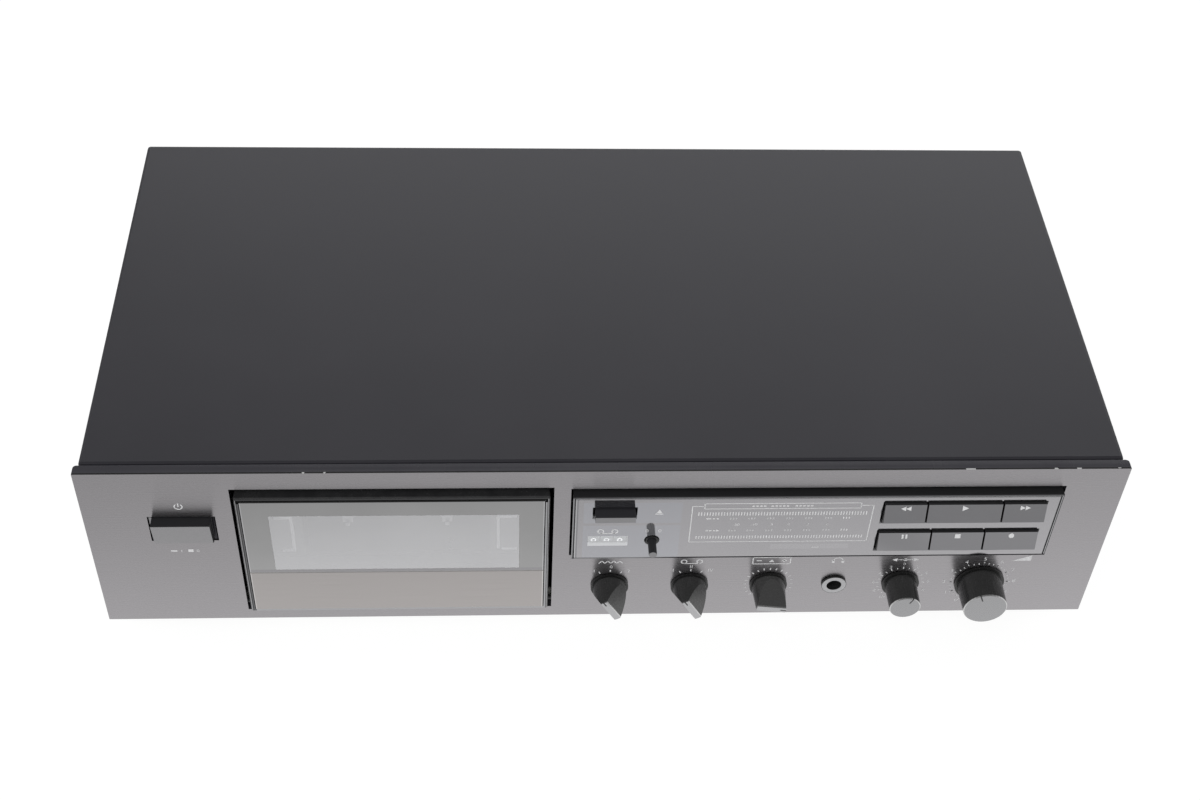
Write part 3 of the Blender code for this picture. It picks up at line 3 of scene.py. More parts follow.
import bmesh
import bpy
from mathutils import Matrix, Vector


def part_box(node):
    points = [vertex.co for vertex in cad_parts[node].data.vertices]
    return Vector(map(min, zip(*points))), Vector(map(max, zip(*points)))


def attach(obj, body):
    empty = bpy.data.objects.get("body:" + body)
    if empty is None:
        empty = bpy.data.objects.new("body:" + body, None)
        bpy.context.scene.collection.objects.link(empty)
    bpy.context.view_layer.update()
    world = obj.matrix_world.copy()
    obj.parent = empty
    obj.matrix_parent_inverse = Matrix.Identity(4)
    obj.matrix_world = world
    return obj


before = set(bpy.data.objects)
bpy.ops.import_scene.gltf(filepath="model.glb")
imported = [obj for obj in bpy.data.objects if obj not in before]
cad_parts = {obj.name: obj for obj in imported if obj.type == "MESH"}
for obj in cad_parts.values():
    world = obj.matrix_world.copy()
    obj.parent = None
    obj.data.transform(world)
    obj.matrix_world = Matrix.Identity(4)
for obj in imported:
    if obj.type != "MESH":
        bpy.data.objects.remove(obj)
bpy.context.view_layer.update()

scene = bpy.context.scene
scene.view_settings.view_transform = "Standard"

# Camera, above and in front of the deck and a little to its left, looking down at its face
# and cover: a 52.66 mm lens on a 36 mm frame, 1200 by 800.
camera_data = bpy.data.cameras.new("camera")
camera_data.sensor_width = 36
camera_data.lens = 52.66
camera = bpy.data.objects.new("camera", camera_data)
camera.location = (-0.0444286, -0.5790114, 0.6446874)
camera.rotation_euler = (radians(44.05265), radians(-2.17788), radians(-2.38624))
scene.collection.objects.link(camera)
scene.camera = camera


# Studio: a white floor, an even pale surround that is dim overhead, and two broad lamps,
# one over the front and one far behind to the right that sheens the cover.
class Socket:
    """A material node's output. Arithmetic adds Math nodes, and add makes any other node."""

    def __init__(self, tree, socket=None):
        self.tree = tree
        self.socket = socket

    def feed(self, target, value):
        if isinstance(value, Socket):
            self.tree.links.new(value.socket, target)
        elif target.type == "RGBA" and len(value) == 3:
            target.default_value = (*value, 1)
        else:
            target.default_value = value

    def add(self, kind, settings={}, sockets={}, out=0):
        node = self.tree.nodes.new("ShaderNode" + kind)
        for name, value in settings.items():
            setattr(node, name, value)
        for key, value in sockets.items():
            self.feed(node.inputs[key], value)
        return Socket(self.tree, node.outputs[out] if node.outputs else None)

    def math(self, operation, *values):
        return self.add("Math", {"operation": operation}, dict(enumerate(values)))

    def __add__(self, other):
        return self.math("ADD", self, other)

    def __sub__(self, other):
        return self.math("SUBTRACT", self, other)

    def __rsub__(self, other):
        return self.math("SUBTRACT", other, self)

    def __mul__(self, other):
        return self.math("MULTIPLY", self, other)

    def __gt__(self, other):
        return self.math("GREATER_THAN", self, other)

    def __lt__(self, other):
        return self.math("LESS_THAN", self, other)

    def __or__(self, other):
        """The larger of the two, so for masks what either of them covers."""
        return self.math("MAXIMUM", self, other)

    def __abs__(self):
        return self.math("ABSOLUTE", self)

    __radd__ = __add__
    __rmul__ = __mul__
    __ror__ = __or__

    def axis(self, number):
        """One of the three numbers of a place or a direction."""
        return self.add("SeparateXYZ", {}, {0: self}, out=number)

    def ramp(self, low, high, start=0.0, end=1.0):
        """This number taken from low..high to start..end, smoothly and no further."""
        sockets = {"Value": self, "From Min": low, "From Max": high, "To Min": start, "To Max": end}
        return self.add("MapRange", {"interpolation_type": "SMOOTHSTEP"}, sockets)

    def mix(self, low, high):
        """The colour low where this mask is 0 and high where it is 1."""
        return self.add("Mix", {"data_type": "RGBA"}, {0: self, 6: low, 7: high}, out=2)


floor_reach, floor_z = 6, -0.0002
corners = [(x * floor_reach, y * floor_reach, floor_z) for x, y in ((-1, -1), (1, -1), (1, 1), (-1, 1))]
floor_mesh = bpy.data.meshes.new("floor")
floor_mesh.from_pydata(corners, [], [(0, 1, 2, 3)])
floor = bpy.data.objects.new("floor", floor_mesh)
scene.collection.objects.link(floor)
floor_material = bpy.data.materials.new("studio_floor")
floor_material.use_nodes = True
floor_material.node_tree.nodes.clear()
floor_mesh.materials.append(floor_material)
paper = Socket(floor_material.node_tree)
ray_names = ("Is Camera Ray", "Is Glossy Ray", "Is Transmission Ray")
seen, mirrored, through = (paper.add("LightPath", out=name) for name in ray_names)
shown = seen | (mirrored | through)
place = paper.add("TexCoord", out=3)
x, y = place.axis(0), place.axis(1)
half_width, half_depth = 0.217, 0.103
away = (abs(x) - half_width) | (abs(y) - half_depth) | 0.0
near, far = x * 0.20 + 0.87, x * 0.26 + 0.52
glow = (1 - mirrored) * 0.92 + mirrored * away.ramp(0.0, 0.13, near, far)
white = paper.add("Emission", {}, {"Color": (1, 1, 1), "Strength": glow})
chalk = paper.add("BsdfDiffuse", {}, {"Color": shown.mix((0.8, 0.8, 0.8), (0.12, 0.12, 0.12))})
lit = paper.add("AddShader", {}, {0: white, 1: chalk})
both = paper.add("MixShader", {}, {0: shown, 1: chalk, 2: lit})
paper.add("OutputMaterial", {}, {0: both})

world = bpy.data.worlds.new("studio")
world.use_nodes = True
world.node_tree.nodes.clear()
scene.world = world
sky = Socket(world.node_tree)
mirrored = sky.add("LightPath", out="Is Glossy Ray")
height = sky.add("TexCoord").axis(2)
strength = (1 - mirrored) * 0.62 + mirrored * height.ramp(0.02, 0.55, 0.80, 0.17)
backdrop = sky.add("Background", {}, {"Color": (1, 1, 1), "Strength": strength})
sky.add("OutputWorld", {}, {0: backdrop})


def add_lamp(name, place, aim, size, power, colour):
    lamp = bpy.data.lights.new(name, "AREA")
    lamp.shape = "RECTANGLE"
    lamp.size, lamp.size_y = size
    lamp.energy = power
    lamp.color = colour
    piece = bpy.data.objects.new(name, lamp)
    piece.location = place
    piece.rotation_euler = (Vector(aim) - Vector(place)).to_track_quat("-Z", "Y").to_euler()
    scene.collection.objects.link(piece)
    return piece


front_lamp = add_lamp("front_lamp", (-0.5, -1.3, 1.5), (0, 0, 0.05), (1.2, 1.2), 16, (1, 1, 1))
front_lamp.visible_glossy = False
add_lamp("rear_lamp", (0.35, 1.6, 1.0), (0.1, 0.1, 0.1), (2.6, 0.6), 11, (0.97, 0.98, 1.0))


# Top cover and rear panel: sheet steel sprayed satin black, the cover folded down both
# sides, with the fine grain of the paint and a few pale specks of dust.
class Skin:
    """A new material: its Principled shader, and places on the part to paint by."""

    def __init__(self, name, **plain):
        self.material = bpy.data.materials.new(name)
        self.material.use_nodes = True
        tree = self.material.node_tree
        self.shader = tree.nodes["Principled BSDF"]
        self.socket = Socket(tree)
        self.place = self.socket.add("TexCoord", out=3)
        self.x, self.y, self.z = (self.place.axis(number) for number in range(3))
        self.facing = self.socket.add("TexCoord", out=1)
        self.set(**plain)

    def set(self, **values):
        sockets = {socket.name.lower().replace(" ", "_"): socket for socket in self.shader.inputs}
        for name, value in values.items():
            self.socket.feed(sockets[name], value)

    def front(self, low=0.6, high=0.9):
        """1 on what faces the front, 0 on tops, sides and undersides."""
        return (0 - self.facing.axis(1)).ramp(low, high)

    def within(self, left, right, foot, top):
        """1 inside an upright rectangle, seen from the front."""
        return (self.x > left) * (self.x < right) * (self.z > foot) * (self.z < top)

    def noise(self, scale, detail=2.0, rough=0.5, stretch=(1, 1, 1)):
        """Cloudy noise about 0.5, with scale in spots a metre."""
        stretched = self.place.add("VectorMath", {"operation": "MULTIPLY"}, {0: self.place, 1: stretch})
        sockets = {"Vector": stretched, "Scale": scale, "Detail": detail, "Roughness": rough}
        return self.socket.add("TexNoise", {}, sockets)

    def specks(self, scale, size, share):
        """1 on scattered round specks: size is in cells, and this share of the cells has one."""
        sockets = {"Vector": self.place, "Scale": scale}
        reach = self.socket.add("TexVoronoi", {}, sockets)
        cell = self.socket.add("TexVoronoi", {}, sockets, out=1)
        chosen = cell.add("SeparateColor", {}, {0: cell}) < share
        return (reach < size) * chosen

    def bump(self, height, distance):
        """Relief of that many metres where height goes from 0 to 1."""
        bumped = self.socket.add("Bump", {}, {"Height": height, "Distance": distance})
        self.set(normal=bumped)


def tint(noise, low, high):
    """A colour that wanders between two close ones with the noise."""
    return noise.ramp(0.3, 0.7).mix(low, high)


def vary(noise, low, high):
    """A number that wanders between two others with the noise."""
    return noise.ramp(0.3, 0.7, low, high)


def dress(skin, *nodes):
    """Gives a skin to nodes of the frame that keep their own shape."""
    for node in nodes:
        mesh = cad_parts[node].data
        mesh.materials.clear()
        mesh.materials.append(skin.material)


paint = Skin("case_paint")
grain = paint.noise(2600, 3)
cloud = paint.noise(14)
dust = paint.specks(95, 0.045, 0.012)
tone = tint(cloud, (0.0208, 0.0201, 0.0255), (0.0240, 0.0232, 0.0290))
paint.set(base_color=dust.mix(tone, (0.30, 0.29, 0.27)), roughness=cloud.ramp(0.2, 0.8, 0.435, 0.465))
paint.bump(grain, 0.00002)
dress(paint, "top_cover", "rear_panel")


# Front panel: 5 mm aluminium, brushed from end to end and clear anodised grey. Its ends
# and top edge are black, with a few small nicks along the top.
metal = Skin("panel_metal", anisotropic=0.85, anisotropic_rotation=0.25)
brushing = metal.noise(1.0, 3, 0.6, (25, 1, 3800))
fine = metal.noise(1.0, 2, 0.6, (60, 1, 9000))
streak = brushing * 0.6 + fine * 0.4
front = metal.front()
face = streak.ramp(0.2, 0.8).mix((0.385, 0.373, 0.386), (0.419, 0.405, 0.419))
panel_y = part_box("front_panel")[0].y
nick_depth, line_depth = 0.0007, 0.0008
nicked = (metal.y < panel_y + nick_depth) * (metal.noise(180, 1) > 0.715)
lined = (metal.y < panel_y + line_depth).mix((0.0350, 0.0340, 0.0405), (0.004, 0.004, 0.004))
edge = nicked.mix(lined, (0.42, 0.42, 0.42))
metal.set(base_color=front.mix(edge, face), roughness=streak.ramp(0.2, 0.8, 0.22, 0.32), metallic=front)
metal.bump(streak, 0.000006)
dress(metal, "front_panel")


# Printing on the front panel: white screen ink. Plain scales, numbers, tape numerals and
# common signs stand beside the controls that they belong to.
class Ink:
    """Marks drawn flat, across and up in metres, then laid on a face of the part."""

    def __init__(self):
        self.mesh = bmesh.new()

    def patch(self, points):
        self.mesh.faces.new([self.mesh.verts.new((u, v, 0)) for u, v in points])

    def line(self, a, b, width):
        a, b = Vector(a), Vector(b)
        side = (b - a).orthogonal().normalized() * width / 2
        self.patch([a - side, b - side, b + side, a + side])

    def bar(self, left, right, low, high):
        self.patch([(left, low), (right, low), (right, high), (left, high)])

    def frame(self, left, right, low, high, width):
        for v in (low, high):
            self.bar(left, right, v - width / 2, v + width / 2)
        for u in (left, right):
            self.bar(u - width / 2, u + width / 2, low, high)

    def arc(self, centre, radius, width, start=0, end=360, steps=24):
        turns = [radians(start + (end - start) * i / steps) for i in range(steps + 1)]
        inner, outer = radius - width / 2, radius + width / 2
        for a, b in zip(turns, turns[1:]):
            self.patch([(centre[0] + reach * sin(turn), centre[1] + reach * cos(turn))
                        for reach, turn in ((inner, a), (outer, a), (outer, b), (inner, b))])

    def disc(self, centre, radius, steps=24):
        turns = [2 * pi * i / steps for i in range(steps)]
        self.patch([(centre[0] + radius * cos(turn), centre[1] + radius * sin(turn)) for turn in turns])

    def arrow(self, u, v, size, way=1):
        """A solid triangle that points to the right, or to the left where way is -1."""
        base, tip = u - way * size / 2, u + way * size / 2
        self.patch([(base, v - size / 2), (tip, v), (base, v + size / 2)])

    def rise(self, u, v, size):
        """A solid triangle that points up."""
        half = size * 0.6
        self.patch([(u - half, v - size / 2), (u + half, v - size / 2), (u, v + size / 2)])

    def reels(self, u, v, spread, width):
        """Two rings joined along their foot, the sign for tape."""
        radius, drop = 0.0012, 0.0013
        for side in (-1, 1):
            self.arc((u + side * spread, v), radius, width)
        self.line((u - spread, v - drop), (u + spread, v - drop), width)

    def figures(self, text, u, v, height):
        letters = bpy.data.curves.new("figures", "FONT")
        letters.body = text
        letters.align_x = "CENTER"
        letters.size = height * 1.40
        letters.resolution_u = 3
        piece = bpy.data.objects.new("figures", letters)
        scene.collection.objects.link(piece)
        evaluated = piece.evaluated_get(bpy.context.evaluated_depsgraph_get())
        shape = bpy.data.meshes.new_from_object(evaluated)
        shape.transform(Matrix.Translation((u, v - height / 2, 0)))
        self.mesh.from_mesh(shape)
        bpy.data.objects.remove(piece)

    def numbers_round(self, centre, reach, height, numbers):
        """Numbers set round a dial: each comes with its angle from straight up, clockwise."""
        for number, angle in numbers:
            u = centre[0] + reach[0] * sin(radians(angle))
            v = centre[1] + reach[1] * cos(radians(angle))
            self.figures(str(number), u, v, height)

    def ticks(self, centre, radius, length, angles, width):
        """Short radial lines; angles are in degrees from straight up, clockwise."""
        for angle in angles:
            way = Vector((sin(radians(angle)), cos(radians(angle))))
            self.line(Vector(centre) + way * radius, Vector(centre) + way * (radius + length), width)

    def lay(self, name, body, slot, skin, where):
        """The finished piece; where gives the place on the part of a point across and up."""
        for face in self.mesh.faces:
            face.normal_update()
            if face.normal.z < 0:
                face.normal_flip()
        for vert in self.mesh.verts:
            vert.co = where(vert.co.x, vert.co.y)
        sheet = bpy.data.meshes.new(name)
        self.mesh.to_mesh(sheet)
        sheet.materials.append(skin.material)
        piece = bpy.data.objects.new(name, sheet)
        scene.collection.objects.link(piece)
        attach(piece, body)


def ink_skin(name, colour):
    """Screen ink: slightly uneven in cover, with a soft gloss."""
    skin = Skin(name, roughness=0.45)
    thin = tuple(0.86 * c for c in colour)
    skin.set(base_color=tint(skin.noise(1500), thin, colour))
    return skin


def upright(y):
    """Lays marks on a face that stands at y, just clear of it."""
    return lambda u, v: (u, y - ink_lift, v)


ink_lift = 0.00003
stroke, hair = 0.0005, 0.0004
panel_foot = 0.014
knob_z = panel_foot + 0.021
dial = {"nr": 0.0027, "tape": 0.0379, "bias": 0.0728, "jack": 0.1020, "balance": 0.1317, "level": 0.1671}
white_ink = ink_skin("white_ink", (0.74, 0.74, 0.75))
marks = Ink()

power_x, standby_z, state_z, state_height = -0.1771, 0.0897, 0.0613, 0.0018
marks.arc((power_x, standby_z), 0.0016, stroke, 35, 325)
marks.line((power_x, standby_z - 0.0001), (power_x, standby_z + 0.0021), stroke)
marks.bar(power_x - 0.0067, power_x - 0.0041, state_z - 0.0006, state_z + 0.0003)
marks.figures("1", power_x - 0.0022, state_z, state_height)
marks.bar(power_x + 0.0005, power_x + 0.0027, state_z - 0.0009, state_z + 0.0008)
marks.figures("0", power_x + 0.0046, state_z, state_height)

positions = {
    "nr": (0.0020, (("1", -0.0070, 0.0450), ("0", 0.0003, 0.0478), ("2", 0.0080, 0.0450))),
    "tape": (0.0021, (("I", -0.0077, 0.0450), ("II", 0.0, 0.0475), ("IV", 0.0086, 0.0450))),
}
for name, (height, figures) in positions.items():
    marks.ticks((dial[name], knob_z), 0.0093, 0.0014, (-28, 0, 28), stroke)
    for text, aside, z in figures:
        marks.figures(text, dial[name] + aside, z, height)
wave_z, wave_step, wave_height = 0.0510, 0.0013, 0.0016
wave = [(dial["nr"] + (i - 4) * wave_step, wave_z + (i % 2 - 0.5) * wave_height) for i in range(9)]
for a, b in zip(wave, wave[1:]):
    marks.line(a, b, stroke)
sign_z = 0.0509
marks.reels(dial["tape"], sign_z, 0.0034, stroke)

bias, trim_z, trim_stroke = dial["bias"], 0.0511, 0.0006
marks.frame(bias - 0.0082, bias + 0.0082, trim_z - 0.0022, trim_z + 0.0022, stroke)
for side in (-1, 1):
    marks.line((bias + side * 0.0043, trim_z), (bias + side * 0.0066, trim_z), trim_stroke)
marks.line((bias + 0.00545, trim_z - 0.0010), (bias + 0.00545, trim_z + 0.0010), trim_stroke)
marks.rise(bias, trim_z, 0.0020)
marks.ticks((bias, knob_z), 0.0097, 0.0013, range(-135, 136, 15), stroke)

jack, phones_z, band, cup_half = dial["jack"], 0.0506, 0.0021, 0.0006
marks.arc((jack, phones_z), band, stroke, -95, 95, 16)
for side in (-1, 1):
    cup = jack + side * band
    marks.bar(cup - cup_half, cup + cup_half, phones_z - 0.0014, phones_z + 0.0003)

balance = dial["balance"]
marks.ticks((balance, knob_z), 0.0095, 0.0010, [a for a in range(-135, 136, 15) if a % 30], hair)
marks.ticks((balance, knob_z), 0.0095, 0.0014, range(-120, 121, 30), stroke)
numbers = [(number, side * number * 14.5) for number in (2, 4, 6, 8, 10) for side in (-1, 1)]
marks.numbers_round((balance + 0.0003, knob_z), (0.0122, 0.0124), 0.0019, numbers)
for side in (-1, 1):
    marks.arrow(balance + side * 0.0048, sign_z, 0.0022, side)
marks.disc((balance, sign_z), 0.0009)
marks.line((balance - 0.0034, sign_z), (balance + 0.0034, sign_z), hair)
marks.figures("0", balance, 0.0480, 0.0017)

level = dial["level"]
marks.ticks((level, knob_z), 0.0122, 0.0010, range(-150, 151, 10), hair)
marks.ticks((level, knob_z), 0.0122, 0.0017, range(-150, 151, 30), stroke)
numbers = [(number, number * 30 - 150) for number in range(11)]
marks.numbers_round((level, knob_z + 0.0005), (0.0157, 0.0155), 0.0022, numbers)
wedge_left, wedge_right, wedge_foot, wedge_top = level + 0.0117, level + 0.0203, 0.0495, 0.0532
marks.patch([(wedge_left, wedge_foot), (wedge_right, wedge_foot), (wedge_right, wedge_top)])
marks.lay("panel_marks", "case", "counter_wheel", white_ink, upright(panel_y))


# Cassette door: a black moulded surround, a half-mirrored smoked pane with a grey painted
# border, and a grey plate below it, all hinged at the foot; a dark holder stands behind.
def ease(node, width):
    """Breaks the sharp edges of a node of the frame, by that width."""
    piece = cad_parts[node]
    piece.modifiers.new("weld", "WELD").merge_threshold = 0.000001
    flat = piece.modifiers.new("flat", "DECIMATE")
    flat.decimate_type = "DISSOLVE"
    flat.angle_limit = radians(1)
    edge = piece.modifiers.new("edge", "BEVEL")
    edge.width = width
    edge.segments = 2
    edge.angle_limit = radians(30)
    edge.harden_normals = True


surround = Skin("door_plastic")
left, right, crest_foot, rim_width = -0.1539, -0.0243, 0.0960, 0.0008
# Painted shade: the rim's metallised front is painted dark grey on an inner strip at the left end.
outside = (surround.x < left + rim_width) * (surround.x > left)
outside = outside + (surround.x > right - rim_width) * (surround.x < right)
left_rim_shade = (surround.x > left + 0.0013) * (surround.x < left + 0.0024)
ledge = (surround.x > right - 0.0024) * (surround.x < right - 0.0011)
foot = (surround.z < 0.0243) * (surround.x > -0.1521) * (surround.x < -0.0261)
# Painted shade: the top of the rim is painted near black, and the strip below it black.
top_rim_shade = surround.z > crest_foot
shade_under_top_rim = surround.within(left + rim_width, right - rim_width, 0.0940, crest_foot)
rim = left_rim_shade.mix((0.42, 0.42, 0.43), (0.15, 0.15, 0.155))
rim = top_rim_shade.mix(rim, (0.075, 0.075, 0.077))
rim = shade_under_top_rim.mix(rim, (0.004, 0.004, 0.004))
lit = surround.front() * ((outside + left_rim_shade + ledge) | foot | top_rim_shade | shade_under_top_rim)
mottle = surround.noise(220)
black_tone = tint(mottle, (0.018, 0.018, 0.019), (0.024, 0.024, 0.025))
surround.set(base_color=lit.mix(black_tone, rim), metallic=lit, roughness=vary(mottle, 0.20, 0.28))
dress(surround, "door_frame")
ease("door_frame", 0.0002)


def pane_faces(skin, low):
    """1 on a pane's front and 1 on its rear, told apart by place as well as by facing."""
    flat = abs(skin.facing.axis(1)).ramp(0.3, 0.5)
    near = skin.y < low.y + 0.0006
    return flat * near, flat * (1 - near)


pane = Skin("door_glass")
low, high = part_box("door_window")
front, rear = pane_faces(pane, low)
view_foot = 0.0518
inside = pane.within(-0.1405, -0.0371, view_foot, 0.0867)
end_gleam, top_gleam = 0.0005, 0.0003
# Painted highlight: the pane's ends and top are painted lighter along their edges.
painted_edge_highlight = (pane.x < low.x + end_gleam) + (pane.x > high.x - end_gleam)
painted_edge_highlight = painted_edge_highlight | (pane.z > high.z - top_gleam) * 0.4
haze = pane.noise(30, 3)
mirror = tint(haze, (0.93, 0.93, 0.95), (0.97, 0.97, 0.99))
border = tint(haze, (0.372, 0.372, 0.372), (0.395, 0.395, 0.395))
border = (pane.z < view_foot).mix(border, (0.34, 0.335, 0.345))
coat = painted_edge_highlight.mix(inside.mix(border, mirror), (0.52, 0.52, 0.53))
pane.set(base_color=front.mix((0.03, 0.03, 0.03), coat), metallic=front, roughness=vary(haze, 0.05, 0.09))
pane.set(alpha=1 - inside * front * 0.40 - rear * 0.96)
dress(pane, "door_window")
ease("door_window", 0.00025)

plate = Skin("door_plate_metal", anisotropic=0.6, anisotropic_rotation=0.25)
front = plate.front(0.3, 0.5)
streak = plate.noise(1.0, 3, 0.6, (30, 1, 4200))
low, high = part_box("door_plate")
# Painted highlight: the plate's ends are painted lighter along their edges.
painted_edge_highlight = (plate.x < low.x + end_gleam) + (plate.x > high.x - end_gleam)
sheen = streak.ramp(0.2, 0.8).mix((0.415, 0.394, 0.386), (0.450, 0.429, 0.420))
plate.set(base_color=front.mix((0.10, 0.10, 0.10), painted_edge_highlight.mix(sheen, (0.62, 0.60, 0.59))))
plate.set(metallic=front, roughness=streak.ramp(0.2, 0.8, 0.14, 0.20))
dress(plate, "door_plate")
ease("door_plate", 0.00025)

holder = Skin("holder_plastic", roughness=0.4)
tone = tint(holder.noise(900), (0.10, 0.10, 0.105), (0.13, 0.13, 0.135))
holder.set(base_color=holder.front().mix((0.05, 0.05, 0.052), tone))
dress(holder, "cassette_holder")


# Cassette guides, pressure springs and the seam of the door: pale mouldings and spring
# steel leaves fixed behind the pane, and a thin strip where pane and plate meet.
class Build:
    """A piece put together from plain parts, in metres in the deck's own frame."""

    def __init__(self):
        self.mesh = bmesh.new()

    def block(self, low, high):
        low, high = Vector(low), Vector(high)
        size, middle = high - low, (high + low) / 2
        made = bmesh.ops.create_cube(self.mesh, size=1)["verts"]
        stretch = Matrix.Translation(middle) @ Matrix.Diagonal((*size, 1))
        bmesh.ops.transform(self.mesh, matrix=stretch, verts=made)

    def turned(self, centre, axis, profile, steps=24):
        """A ring or disc: profile gives (radius, place along the axis) from its middle outwards."""
        swing = Vector((0, 0, 1)).rotation_difference(Vector(axis))
        rings = []
        for radius, along in profile:
            ring = []
            for i in range(steps):
                turn = 2 * pi * i / steps
                spot = Vector((radius * cos(turn), radius * sin(turn), along))
                ring.append(self.mesh.verts.new(Vector(centre) + swing @ spot))
            rings.append(ring)
        for inner, outer in zip(rings, rings[1:]):
            for i in range(steps):
                j = (i + 1) % steps
                self.mesh.faces.new([inner[i], outer[i], outer[j], inner[j]])

    def piece(self, name, body, slot, skin, edge=0.0):
        mesh = bpy.data.meshes.new(name)
        bmesh.ops.remove_doubles(self.mesh, verts=self.mesh.verts, dist=0.000001)
        bmesh.ops.recalc_face_normals(self.mesh, faces=self.mesh.faces)
        self.mesh.to_mesh(mesh)
        mesh.materials.append(skin.material)
        mesh.shade_smooth()
        mesh.set_sharp_from_angle(angle=radians(35))
        piece = bpy.data.objects.new(name, mesh)
        scene.collection.objects.link(piece)
        if edge:
            soft = piece.modifiers.new("edge", "BEVEL")
            soft.width = edge
            soft.segments = 2
        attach(piece, body)


pale = Skin("guide_plastic", roughness=0.35)
pale.set(base_color=tint(pale.noise(700), (0.74, 0.75, 0.77), (0.82, 0.83, 0.85)))
guides = Build()
guide_rear = panel_y + 0.0082
guide_front = guide_rear - 0.0008
top_arm, foot_arm, foot_arm_inset, post_width = (0.0722, 0.0740), (0.0508, 0.0518), 0.002, 0.0013
for inner, outer in ((-0.1328, -0.1406), (-0.0464, -0.0378)):
    left, right = sorted((inner, outer))
    guides.block((left, guide_front, top_arm[0]), (right, guide_rear, top_arm[1]))
    guides.block((left + foot_arm_inset, guide_front, foot_arm[0]), (right, guide_rear, foot_arm[1]))
    way = 1 if outer < inner else -1
    left, right = sorted((inner, inner - way * post_width))
    guides.block((left, guide_front, foot_arm[1]), (right, guide_rear, top_arm[0]))
guides.piece("cassette_guides", "door", "counter_wheel", pale, 0.0002)

springs = Build()
leaf_front = panel_y + 0.0046
leaf_rear, tip_front = leaf_front + 0.0005, leaf_front - 0.0012
leaf_half, tip_half = 0.0022, 0.0009
for middle in (-0.1090, -0.0673):
    springs.block((middle - leaf_half, leaf_front, 0.0735), (middle + leaf_half, leaf_rear, 0.0890))
    springs.block((middle - tip_half, tip_front, 0.0725), (middle + tip_half, leaf_rear, 0.0745))
spring_steel = Skin("spring_steel", metallic=1.0, roughness=0.3)
spring_steel.set(base_color=tint(spring_steel.noise(500), (0.40, 0.40, 0.41), (0.52, 0.52, 0.53)))
springs.piece("pressure_springs", "door", "machined_steel", spring_steel, 0.0001)

seam = Build()
low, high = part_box("door_plate")
seam_front, seam_rear = low.y + 0.00012, low.y + 0.0008
seam.block((low.x, seam_front, high.z - 0.0002), (high.x, seam_rear, high.z + 0.0005))
seam_skin = Skin("seam_plastic", metallic=0.6, roughness=0.3)
seam_skin.set(base_color=tint(seam_skin.noise(500), (0.36, 0.35, 0.35), (0.40, 0.39, 0.39)))
seam.piece("door_seam", "door", "panel_metal", seam_skin)


# Chassis, subframe and mechanism plate: zinc plated sheet steel, folded and screwed
# together; the mechanism plate's front is painted dull black.
def moulded(name, low, high, gloss, grain=700):
    """A moulded plastic: two close tones, a little uneven in gloss, with a faint texture."""
    skin = Skin(name)
    spots = skin.noise(grain, 3)
    skin.set(base_color=tint(spots, low, high), roughness=vary(spots, gloss, gloss + 0.1))
    skin.bump(spots, 0.00001)
    return skin


def metal_skin(name, low, high, gloss, stretch=(1, 1, 1), grain=500):
    """A bare or plated metal, with the marks of how it was worked."""
    skin = Skin(name, metallic=1.0)
    work = skin.noise(grain, 3, 0.6, stretch)
    skin.set(base_color=work.ramp(0.25, 0.75).mix(low, high))
    skin.set(roughness=work.ramp(0.25, 0.75, gloss, gloss + 0.15))
    skin.bump(work, 0.00001)
    return skin


zinc = metal_skin("zinc_sheet", (0.50, 0.50, 0.465), (0.545, 0.545, 0.51), 0.34, grain=160)
dress(zinc, "base_chassis", "front_subframe")
well = Skin("well_paint")
front = well.front()
spots = well.noise(600)
tone = tint(spots, (0.07, 0.07, 0.075), (0.09, 0.09, 0.095))
well.set(base_color=front.mix((0.50, 0.50, 0.46), tone), metallic=1 - front)
well.set(roughness=vary(spots, 0.40, 0.50))
dress(well, "mechanism_plate")


# Tape mechanism: pale moulded spindles, a polished head, a ground steel capstan with its
# flywheel, a plated head base and pinch arm, a brass pulley, and a rubber belt and roller.
spindle = moulded("spindle_plastic", (0.55, 0.55, 0.54), (0.66, 0.66, 0.65), 0.35)
dress(spindle, "supply_spindle", "takeup_spindle")
steel = metal_skin("machined_steel", (0.52, 0.52, 0.53), (0.66, 0.66, 0.67), 0.18, (1, 12, 1))
dress(steel, "capstan_flywheel", "tape_head")
brass = metal_skin("pulley_brass", (0.62, 0.45, 0.20), (0.78, 0.58, 0.28), 0.22, (1, 12, 1))
dress(brass, "motor_pulley")
rubber = moulded("belt_rubber", (0.012, 0.012, 0.012), (0.022, 0.022, 0.022), 0.55)
dress(rubber, "drive_belt", "pinch_roller")
plated = metal_skin("plated_steel", (0.50, 0.50, 0.48), (0.62, 0.62, 0.60), 0.25)
dress(plated, "head_base", "pinch_arm")


# Motors, solenoid, switches and potentiometers in drawn steel cans, the transformer on its
# stack of iron sheets, and two green circuit boards of resin and glass cloth.
can = metal_skin("motor_can", (0.42, 0.42, 0.43), (0.58, 0.58, 0.59), 0.28, (1, 8, 1))
dress(can, "capstan_motor", "reel_motor", "head_solenoid")
dress(can, "nr_switch", "tape_switch", "bias_pot", "balance_pot", "level_pot")
iron = metal_skin("core_steel", (0.16, 0.16, 0.17), (0.26, 0.26, 0.27), 0.40, (1, 1, 14))
dress(iron, "power_transformer")
board = moulded("circuit_board", (0.20, 0.28, 0.12), (0.25, 0.33, 0.16), 0.35, 300)
dress(board, "control_board", "main_board")


